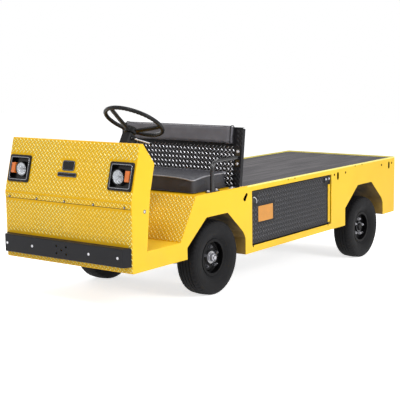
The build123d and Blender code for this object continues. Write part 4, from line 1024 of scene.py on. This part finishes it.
def reflectorShape(place):
    # a bowl whose depth goes with the square of the radius, stepped into facets round and across
    aim, side = unit(lamps["aim"]), np.array([0.0, 1.0, 0.0])
    rows = np.linspace(*lamps["reflectorRows"])[:, None]
    turn = np.arange(lamps["steps"]) * 2 * math.pi / lamps["steps"]
    (facets, facetDepth), (bands, bandDepth) = lamps["facets"], lamps["bands"]
    facet = np.abs(np.sin(turn * facets)) * facetDepth * rows
    band = np.abs((rows * bands) % 1 - 0.5) * bandDepth
    depth = -lamps["depth"] * (1 - rows ** 2) - facet * (1 - rows) * 4 - band
    wide, hole = lamps["radius"] * lamps["reflectorR"], lamps["hole"]
    back, floor = lamps["back"]
    even = np.ones((1, len(turn)))
    out = np.vstack([even * hole, even * wide, rows * wide * even, even * hole])
    depth = np.vstack([even * back, even * back, depth, even * floor])
    ring = np.cos(turn)[:, None] * side + np.sin(turn)[:, None] * np.cross(aim, side)
    return gridShape(place + out[..., None] * ring + depth[..., None] * aim, closeU=True, closeV=True)


def domeShape(place):
    # thin clear cover, its height falling with the square of the radius, ribbed inside
    r, high, wall = lamps["radius"] - lamps["coverGap"], lamps["dome"], lamps["wall"]
    t = np.linspace(1, 0, 17)
    rib = lamps["coverRib"] * (np.arange(17) % 2)
    outer = np.column_stack([r * t, high * (1 - t ** 2)])
    t = t[::-1]
    inner = np.column_stack([(r - wall) * t, (high - wall) * (1 - t ** 2) - rib])
    return turned(np.vstack([outer, inner, outer[:1]]), place, lamps["aim"], lamps["steps"])


def turnLensShape(spot):
    # rounded block whose fluted front falls off steeply at its edges
    (width, height), (low, high) = lamps["turnSize"], lamps["turnLevels"]
    u, v = np.linspace(-1, 1, 49)[:, None], np.linspace(-1, 1, 41)[None, :]
    edge = np.clip(1 - np.maximum(np.abs(u) ** 8, np.abs(v) ** 10), 0, 1)
    flutes, fluteDepth = lamps["turnFlutes"]
    flute = fluteDepth * (0.5 + 0.5 * np.cos(u * math.pi * flutes))
    level = high - lamps["turnCrown"] * (1 - edge ** 0.6) - flute * edge
    front = np.stack(np.broadcast_arrays(u * width / 2, v * height / 2, level), -1)
    rows, cols = level.shape
    points, (quads,) = gridShape(front)
    total, number = rows * cols, np.arange(rows * cols).reshape(rows, cols)
    rim = np.concatenate([number[0], number[1:, -1], number[-1, -2::-1], number[-2:0:-1, 0]])
    after = np.roll(rim, -1)
    wall = np.stack([rim, after, after + total, rim + total], -1)
    back = np.column_stack([points[:, :2], np.full(total, low)])
    return onPlane(brow, np.concatenate([points, back]) + spot), [quads, quads[:, ::-1] + total, wall]


def cordOn(plane, ring, middle, out, radius):
    # thin round cord along a closed ring laid on a plane
    local = np.column_stack([ring + middle, np.full(len(ring), out)])
    return swept(onPlane(plane, local), circle(radius, 8), plane["out"], closed=True)


places = onPlane(brow, lamps["spots"])
makePiece("headlamp_reflectors", join(*map(reflectorShape, places)), "reflector", crease=12)
makePiece("headlamp_domes", join(*map(domeShape, places)), "glass", replaces="headlamp_lenses", crease=60)
bulbs = turnedAt(places, lamps["bulb"], lamps["aim"], 24)
makePiece("headlamp_bulbs", bulbs, "chrome", slot="lamp_clear")
collars = turnedAt(places, lamps["collar"], lamps["aim"], lamps["steps"])
makePiece("headlamp_collars", collars, "glossBlack", slot="lamp_surround", crease=50)
# bright metal beads on the black frames' inner crests: painted highlight where the crests catch the light
beadRing, (across, rise, out) = roundedOutline(*lamps["bead"], 9), lamps["beadPlace"]
beads = [cordOn(brow, beadRing, (across * side, rise), out, lamps["beadR"]) for side, _ in hands]
makePiece("lamp_frame_beads", join(*beads), "frameBead")
turnLenses = join(*map(turnLensShape, lamps["turnSpots"]))
makePiece("turn_lenses_fluted", turnLenses, "amber", replaces="turn_lenses", crease=50)
print("lamps done")

# Fasteners and small fittings; places are in metres
ahead, outLeft, outRight, rearwards, upward = (1, 0, 0), (0, 1, 0), (0, -1, 0), (-1, 0, 0), (0, 0, 1)
dash = {
    "origin": (0.6205, 0, 0.7105),
    "up": (0.6247, 0, 0.7809),
    "out": (-0.7809, 0, 0.6247),
}
seamScrewY = (-0.456, -0.230, -0.007, 0.217, 0.447)
fastenerRows = [
    # name, body, finish, outward, (across, height, sides, washer radius), places
    ("bumper_bolts", "truck_body", "zinc", ahead, (0.0160, 0.0018, 20),
     [(0.8361, y, 0.165) for y in (-0.444, -0.235, 0.212, 0.427)]),
    ("seam_washers", "truck_body", "skirtBlack", ahead, (0.0145, 0.0034, 20),
     [(0.7911, y, 0.4405) for y in seamScrewY]),
    ("seam_screws", "truck_body", "zinc", ahead, (0.0070, 0.0058, 16),
     [(0.7911, y, 0.4402) for y in seamScrewY]),
    ("restraint_foot_bolts", "truck_body", "zinc", upward, (0.016, 0.008, 6, 0.0105),
     [(x, y, 0.4431) for x in (0.054, -0.030) for y in (0.470, -0.470)]),
    ("restraint_plate_bolts", "truck_body", "zinc", backPad["out"], (0.0150, 0.0066, 20, 0.0095),
     onPlane(backPad, [(y, rise, 0.0041) for rise in (0.146, 0.222) for y in (0.470, -0.470)])),
    ("back_plate_screws", "truck_body", "zinc", backPad["out"], (0.0095, 0.0034, 16),
     onPlane(backPad, [(y, 0.189, 0.0041) for y in (0.474, -0.474)])),
    ("door_strap_bolts_left", "door_left", "zinc", outLeft, (0.0125, 0.0055, 20, 0.0085),
     [(x, 0.4871, 0.371) for x in (-1.369, -1.327)]),
    ("door_strap_bolts_right", "door_right", "zinc", outRight, (0.0125, 0.0055, 20, 0.0085),
     [(x, -0.4871, 0.371) for x in (-1.369, -1.327)]),
    ("tail_panel_bolts", "truck_body", "darkSteel", rearwards, (0.016, 0.007, 6, 0.0105),
     [(-2.3961, y, z) for y in (-0.30, 0.30) for z in (0.060, 0.372)]),
    ("hitch_bolts", "truck_body", "steel", rearwards, (0.019, 0.010, 6, 0.013),
     [(-2.4041, y, z) for y in (-0.056, 0.056) for z in (0.044, 0.124)]),
    ("dash_screws", "truck_body", "darkSteel", dash["out"], (0.010, 0.0032, 16),
     [(0.6355, y, 0.7287) for y in (-0.44, -0.15, 0.05, 0.44)]),
]
for name, body, finish, outward, size, spots in fastenerRows:
    helper = sideOf(outward)
    turns = placements(spots, helper, np.cross(unit(outward), helper), outward)
    slot = "steel" if name == "seam_washers" else None
    makePiece(name, copies(boltHead(*size), turns), finish, body, slot=slot)

# Catch plates on the seat box, at the foot of the back plate
catch = join(plate(0.054, 0.024, 0.004, 0.0030), boltHead(0.013, 0.0075, 6, 0.0092))
level = placements([(-0.190, y, 0.4384) for y in (0.4735, -0.4735)], ahead, outLeft, upward)
makePiece("seat_catch_plates", copies(catch, level), "zinc")

# Door latches: a bent rod, thinner towards its tip, on a plate
doorLatch = {
    "hook": [(-0.399, 0.352), (-0.410, 0.3545), (-0.423, 0.349), (-0.434, 0.340), (-0.441, 0.328),
             (-0.438, 0.313)],
    "rodR": 0.0034,
    "tip": 0.62,  # share of the radius left at the tip
    "hookY": 0.4905,
    "foot": (0.040, 0.044, 0.006, 0.0035),
    "footPlace": (-0.414, 0.340),
}
doorFace = 0.4831
for side, hand in hands:
    hook = smoothPath([(x, doorLatch["hookY"] * side, z) for x, z in doorLatch["hook"]], 40)
    taper = np.linspace(1.0, doorLatch["tip"], 40)[:, None, None]
    rod = swept(hook, circle(doorLatch["rodR"]) * taper, outLeft)
    makePiece(f"door_latch_{hand}", rod, "zinc", f"door_{hand}")
    foot = onSide(plate(*doorLatch["foot"]), side, doorFace, [doorLatch["footPlace"]])
    makePiece(f"door_latch_plate_{hand}", foot, "glossBlack", f"door_{hand}")

# Door edges: a near-black frame behind each door's opening and a shelf below it, painted shade seen
# through the gap; near-black rubber round the door, partly painted shade of the gap; a yellow strip at its
# rear end
doorEdge = {
    "middle": (-0.887, 0.2215),
    "size": (0.999, 0.341),
    "surroundY": 0.4530,
    "lap": 0.020,  # reach beyond the door
    "corners": (0.010, 0.012, 0.002),  # radius of the surround, of the seal, and its least one inside
    "surround": [(0, 0), (0.004, 0), (0.004, 0.036), (0, 0.036)],
    "seal": [(0, 0), (0.0028, 0), (0.0036, 0.0012), (0.0036, 0.0073), (0.0028, 0.0085), (0, 0.0085)],
    "strip": (0.023, 0.272, 0.002, 0.0046),
    "stripPlace": (-1.3735, 0.194),
    "shelf": (1.012, 0.036, 0.001, 0.0020),
    "shelfPlace": (-0.887, 0.4730, 0.0355),
}
for side, hand in hands:
    body, middle, (long, high), lap = f"door_{hand}", [doorEdge["middle"]], doorEdge["size"], doorEdge["lap"]
    surroundR, sealR, least = doorEdge["corners"]
    surround = slab(doorEdge["surround"], long + 2 * lap, high + 2 * lap, surroundR, 5, share=0)
    seal = slab(doorEdge["seal"], long, high, sealR, 5, least=least)
    surround = onSide(openSides(surround), side, doorEdge["surroundY"], middle)
    makePiece(f"door_surround_{hand}", surround, "skirtBlack", closed=False)
    seal = onSide(openSides(seal), side, doorFace, middle)
    makePiece(f"door_seal_{hand}", seal, "skirtBlack", body, closed=False)
    strip = onSide(plate(*doorEdge["strip"]), side, doorFace, [doorEdge["stripPlace"]])
    makePiece(f"door_end_strip_{hand}", strip, "yellow", body)
    x, y, z = doorEdge["shelfPlace"]
    shelf = copies(plate(*doorEdge["shelf"]), placements([(x, y * side, z)], ahead, outLeft, upward))
    makePiece(f"door_sill_shade_{hand}", shelf, "skirtBlack")

# Side panels: black liners behind the slots and holes and flat black rims round the slots, painted shade;
# the slanting slot as a flat black sheet over its filled hole, painted shade; flush bolts
sideHoles = {
    "linerY": 0.4922,
    "cup": [(0, 0.0002), (0.0026, 0.0002), (0.0026, 0.0009), (0.0005, 0.0011)],
    "lip": [(0, 0.0009), (0.0001, 0.0009), (0.0001, -0.0040), (0, -0.0040)],
    "lipOut": 0.00277,
    "slots": [(-1.487, 0.378), (-2.297, 0.378)],
    "racks": [(-1.436, 0.391), (-1.600, 0.391), (-2.172, 0.391), (-2.344, 0.391)],
    "rimY": 0.49495,
    "slotRim": (0.026, 0.052, 0.0129, 0.00009, 0.00003, 9),
    "hook": (-0.308, 0.369),
    "hookSize": (0.0579, 0.0199, 0.0099),
    "hookBevel": 0.00003,
    "hookSpan": 0.058,  # length over which the slot widens
    "fillerThick": 0.00278,
    "hookThick": 0.00009,
    "hookGrow": 0.55,  # how much wider the lower end is
    "flushY": 0.49496,
    "dots": [(-0.812, 0.425), (-0.898, 0.425), (-1.745, 0.425), (-1.852, 0.425), (-0.391, 0.040),
             (-1.346, 0.039)],
    "bolts": [(0.678, 0.408)],
    "flush": [  # name, places, radius, height, finish
        # flat black dots where holes show: painted shade
        ("dots", "dots", 0.0055, 0.00006, "holeBlack"),
        ("rings", "bolts", 0.0115, 0.00006, "darkSteel"),
        ("caps", "bolts", 0.0070, 0.00008, "zinc"),
    ],
}


def linerShape(width, height):
    # painted shade: a black thin sleeve round the hole with a closed back, so the hole reads dark
    radius = min(width, height) * 0.499
    cup = slab(sideHoles["cup"], width, height, radius, 7)
    points, faces = openSides(slab(sideHoles["lip"], width, height, radius, 7))
    return join(cup, (points + (0, 0, sideHoles["lipOut"]), faces))


def hookSlot(side, out, turnedBy, thick, grow=0.0):
    # long rounded slot in the panel's plane, wider at its lower end when grown
    points, faces = plate(*sideHoles["hookSize"], thick, sideHoles["hookBevel"], 9)
    points[:, 1] *= 1 + grow * (0.5 - points[:, 0] / sideHoles["hookSpan"])
    c, s = math.cos(math.radians(turnedBy)), math.sin(math.radians(turnedBy))
    x, z = sideHoles["hook"]
    return copies((points, faces), placements([(x, out * side, z)], (c, 0, s), (-s, 0, c), (0, side, 0)))


for side, hand in hands:
    filler = hookSlot(side, sideHoles["linerY"], 50, sideHoles["fillerThick"])
    makePiece(f"hook_slot_filler_{hand}", filler, "yellow")
    # the slot itself is a flat black sheet on the panel: painted shade
    slotShade = hookSlot(side, sideHoles["rimY"], 130, sideHoles["hookThick"], sideHoles["hookGrow"])
    makePiece(f"hook_slot_{hand}", slotShade, "holeBlack")
    liners = join(onSide(linerShape(0.012, 0.048), side, sideHoles["linerY"], sideHoles["slots"]),
                  onSide(linerShape(0.010, 0.010), side, sideHoles["linerY"], sideHoles["racks"]))
    makePiece(f"hole_liners_{hand}", liners, "holeBlack")
    rims = onSide(plate(*sideHoles["slotRim"]), side, sideHoles["rimY"], sideHoles["slots"])
    makePiece(f"slot_rims_{hand}", rims, "holeBlack")
    for name, spots, radius, height, finish in sideHoles["flush"]:
        flat = turned([(radius, 0), (radius, height), (0, height + 0.00001), (0, 0), (radius, 0)], count=20)
        flat = onSide(flat, side, sideHoles["flushY"], sideHoles[spots])
        makePiece(f"flush_{name}_{hand}", flat, finish, slot="steel")

# Dark strip in the front seam, painted shade under the brow's flange, and the strip that closes the step from
# seat box to sunk deck
crossStrips = [
    ("seam_strip", "seamShade", (0.978, 0.0026, 0.001, 0.0022, 0.0006), (0.7881, 0, 0.4318)),
    ("deck_front_seal", "skirtBlack", (0.982, 0.0225, 0.001, 0.0012, 0.0003), (-0.2992, 0, 0.4236)),
]
for name, finish, size, middle in crossStrips:
    makePiece(name, copies(plate(*size), placements([middle], outLeft, upward, ahead)), finish)

# Blank orange plate on the battery door, blank plaque and bar on the brow
plates = {
    "label": (0.172, 0.102, 0.005, 0.0012, 0.0004),
    "labelY": 0.48305,
    "labelPlace": (-0.5545, 0.2365),
    "blanks": [  # size, radius and thickness, middle on the brow
        ((0.096, 0.060, 0.014, 0.0034), (-0.007, 0.1805)),
        ((0.148, 0.026, 0.007, 0.0032), (-0.010, 0.128)),
    ],
    "edgeInset": 0.0035,
    "edgeR": 0.0011,
}
label = onSide(plate(*plates["label"]), 1, plates["labelY"], [plates["labelPlace"]])
makePiece("warning_plate_blank", label, "labelOrange", "door_left")
blanks, edges, inset = [], [], plates["edgeInset"]
for size, middle in plates["blanks"]:
    width, height, radius, thick = size
    blanks.append(laid(brow, plate(*size), [(*middle, 0)]))
    ring = roundedOutline(width - 2 * inset, height - 2 * inset, radius - inset, 7)
    edges.append(cordOn(brow, ring, middle, thick, plates["edgeR"]))
makePiece("front_plaque_blank", join(*blanks), "glossBlack")
makePiece("front_plaque_edges", join(*edges), "frameBead")

# Pedal pads: ribbed rubber on both plates
pedal = {
    "origin": (0.620, 0, 0.267),
    "up": (-0.6, 0, -0.8),
    "out": (-0.8, 0, 0.6),
    "lift": 0.0081,
    "rows": [(0.064, 0.058), (0.152, 0.080)],  # middle, width
    "pad": (0.092, 0.007, 0.0030),  # height, corner, thickness
    "rib": (0.0052, 0.002, 0.0026),
    "ribInset": 0.010,
    "ribLift": 0.0029,
    "ribs": 7,
    "ribPitch": 0.0118,
}
pads = []
for middle, width in pedal["rows"]:
    pad = plate(width, *pedal["pad"])
    rib = plate(width - pedal["ribInset"], *pedal["rib"])
    ribOut = pedal["lift"] + pedal["ribLift"]
    steps = (np.arange(pedal["ribs"]) - (pedal["ribs"] - 1) / 2) * pedal["ribPitch"]
    pads.append(laid(pedal, pad, [(middle, 0, pedal["lift"])]))
    pads.append(laid(pedal, rib, [(middle, step, ribOut) for step in steps]))
makePiece("pedal_pads", join(*pads), "rubber", slot="black_plastic")

# Tail lamps: bright bezel and a lens with pressed rings
tailLamp = {
    "places": [(-2.4101, 0.425, 0.190), (-2.4101, -0.425, 0.190)],
    "edge": [(0.0405, 0), (0.0405, 0.0026), (0.0380, 0.0040)],
    "lensR": 0.038,
    "base": 0.0040,
    "crown": 0.0035,
    "ring": (0.0006, 0.0062),  # height, pitch
    "bezel": [(0.0410, 0), (0.0410, 0.0035), (0.0440, 0.0048), (0.0488, 0.0030), (0.0502, -0.0070),
              (0.0410, -0.0070), (0.0410, 0)],
}
r, (ringHeight, ringPitch) = np.linspace(tailLamp["lensR"], 0, 39), tailLamp["ring"]
crown = tailLamp["base"] + tailLamp["crown"] * (1 - (r / tailLamp["lensR"]) ** 2)
pressed = np.column_stack([r, crown + ringHeight * np.cos(r * 2 * math.pi / ringPitch)])
lens = np.vstack([tailLamp["edge"], pressed, [(0, 0), tailLamp["edge"][0]]])
makePiece("tail_lamp_lenses", turnedAt(tailLamp["places"], lens, rearwards, 64), "red")
bezels = turnedAt(tailLamp["places"], tailLamp["bezel"], rearwards, 64)
makePiece("tail_lamp_bezels", bezels, "glossBlack", slot="lamp_surround", crease=50)

# Dash: charge gauge, key switch and a travel switch beside the column
dashParts = {
    "gauge": [(0.0265, 0), (0.0265, 0.0050), (0.0245, 0.0068), (0.0225, 0.0062), (0.0215, 0.0030),
              (0, 0.0030), (0, 0), (0.0265, 0)],
    "key": [(0.0120, 0), (0.0120, 0.0030), (0.0100, 0.0045), (0.0078, 0.0045), (0.0078, 0.0090),
            (0.0070, 0.0100), (0, 0.0100), (0, 0), (0.0120, 0)],
    "switch": (0.024, 0.038, 0.003, 0.005),
    "rocker": (0.015, 0.028, 0.002, 0.0045, 0.0015),
}
gauge = turned(dashParts["gauge"], onPlane(dash, (0.040, 0, 0)), dash["out"], 48)
key = turned(dashParts["key"], onPlane(dash, (0.340, -0.004, 0)), dash["out"], 32)
switch = join(laid(dash, plate(*dashParts["switch"]), [(-0.030, 0, 0)]),
              laid(dash, plate(*dashParts["rocker"]), [(-0.030, 0, 0.0045)]))
makePiece("dash_gauge", gauge, "glossBlack")
makePiece("dash_key_switch", key, "chrome")
makePiece("dash_switch", switch, "plastic")
print("fittings done")

# Camera where the photograph was taken from, on a white sweep
shot = {
    "place": (5.87217, 4.13453, 1.26001),
    "heading": math.radians(-144.46026),
    "down": math.radians(5.65886),
    "roll": math.radians(0.96689),
    "lens": 92.742,
    "shift": (-0.0588, -0.0225),
}
studio = {
    "lamps": [  # name, place, aim, size, watts
        ("keyLamp", (0.6, 5.4, 2.8), (0, 0, 0.5), (2.6, 2.0), 148),
        ("frontLamp", (4.3, 1.2, 5.0), (0.5, 0, 0.6), (1.8, 1.6), 130),
        ("topLamp", (-0.9, 0.2, 4.8), (-0.4, 0, 0.4), (4.0, 2.6), 70),
        ("fillLamp", (-1.6, -5.0, 2.6), (-0.4, 0, 0.4), (3.0, 2.2), 55),
    ],
    "sky": ((0.95, 0.96, 1.0, 1.0), 0.42),  # colour and strength of the light that falls on things
    "floorReach": 30.0,
    "floorGlow": 0.72,
}


def placeCamera():
    heading, down, roll = shot["heading"], shot["down"], shot["roll"]
    ahead = Vector((math.cos(heading) * math.cos(down), math.sin(heading) * math.cos(down), -math.sin(down)))
    level = Vector((math.sin(heading), -math.cos(heading), 0))
    lift = level.cross(ahead)
    right = level * math.cos(roll) + lift * math.sin(roll)
    up = lift * math.cos(roll) - level * math.sin(roll)
    lens = bpy.data.cameras.new("camera")
    lens.lens, lens.sensor_width = shot["lens"], 36.0
    lens.shift_x, lens.shift_y = shot["shift"]
    lens.clip_end = 100.0
    camera = bpy.data.objects.new("camera", lens)
    turn = Matrix((right, up, -ahead)).transposed()
    camera.matrix_world = Matrix.Translation(shot["place"]) @ turn.to_4x4()
    bpy.context.scene.collection.objects.link(camera)
    bpy.context.scene.camera = camera


def placeLamp(name, place, aim, size, watts):
    light = bpy.data.lights.new(name, "AREA")
    light.shape, light.size, light.size_y = "RECTANGLE", *size
    light.energy = watts
    lamp = bpy.data.objects.new(name, light)
    lamp.location = place
    lamp.rotation_euler = (Vector(aim) - Vector(place)).to_track_quat("-Z", "Y").to_euler()
    bpy.context.scene.collection.objects.link(lamp)


def lightSky():
    # pale for the light that falls on things, white for what is seen
    world = bpy.data.worlds.new("world")
    bpy.context.scene.world = world
    world.use_nodes = True
    maker, (colour, strength) = Maker(world.node_tree), studio["sky"]
    plain = maker.node("ShaderNodeBackground", {}, {0: colour, 1: strength})
    white = maker.node("ShaderNodeBackground", {}, {0: (1.0, 1.0, 1.0, 1.0), 1: 1.0})
    mixed = maker.node("ShaderNodeMixShader", {}, {0: maker.seen(), 1: plain, 2: white})
    maker.node("ShaderNodeOutputWorld", {}, {0: mixed})


def layFloor():
    # lit floor that keeps the shadow, lifted to white for the camera, reflections and glass
    f = Finish("studioFloor")
    f.finish(Base_Color=tone(250, 250, 250), Roughness=0.9)
    glow = f.node("ShaderNodeEmission", {}, {"Strength": studio["floorGlow"]})
    clear = f.node("ShaderNodeEmission", {}, {"Strength": 0.0})
    lift = f.node("ShaderNodeMixShader", {}, {0: f.seen(), 1: clear, 2: glow})
    both = f.node("ShaderNodeAddShader", {}, {0: lift, 1: Flow(f, f.surface.outputs[0])})
    f.feed(f.output.inputs[0], both)
    mesh = bpy.data.meshes.new("studio_floor")
    reach = studio["floorReach"]
    corners = [(-reach, -reach, 0), (reach, -reach, 0), (reach, reach, 0), (-reach, reach, 0)]
    mesh.from_pydata(corners, [], [(0, 1, 2, 3)])
    mesh.materials.append(f.material)
    floor = bpy.data.objects.new("studio_floor", mesh)
    bpy.context.scene.collection.objects.link(floor)
    floor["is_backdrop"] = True


placeCamera()
for row in studio["lamps"]:
    placeLamp(*row)
lightSky()
layFloor()
print("studio done")
bpy.context.scene.view_settings.view_transform = "Standard"
low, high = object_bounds()
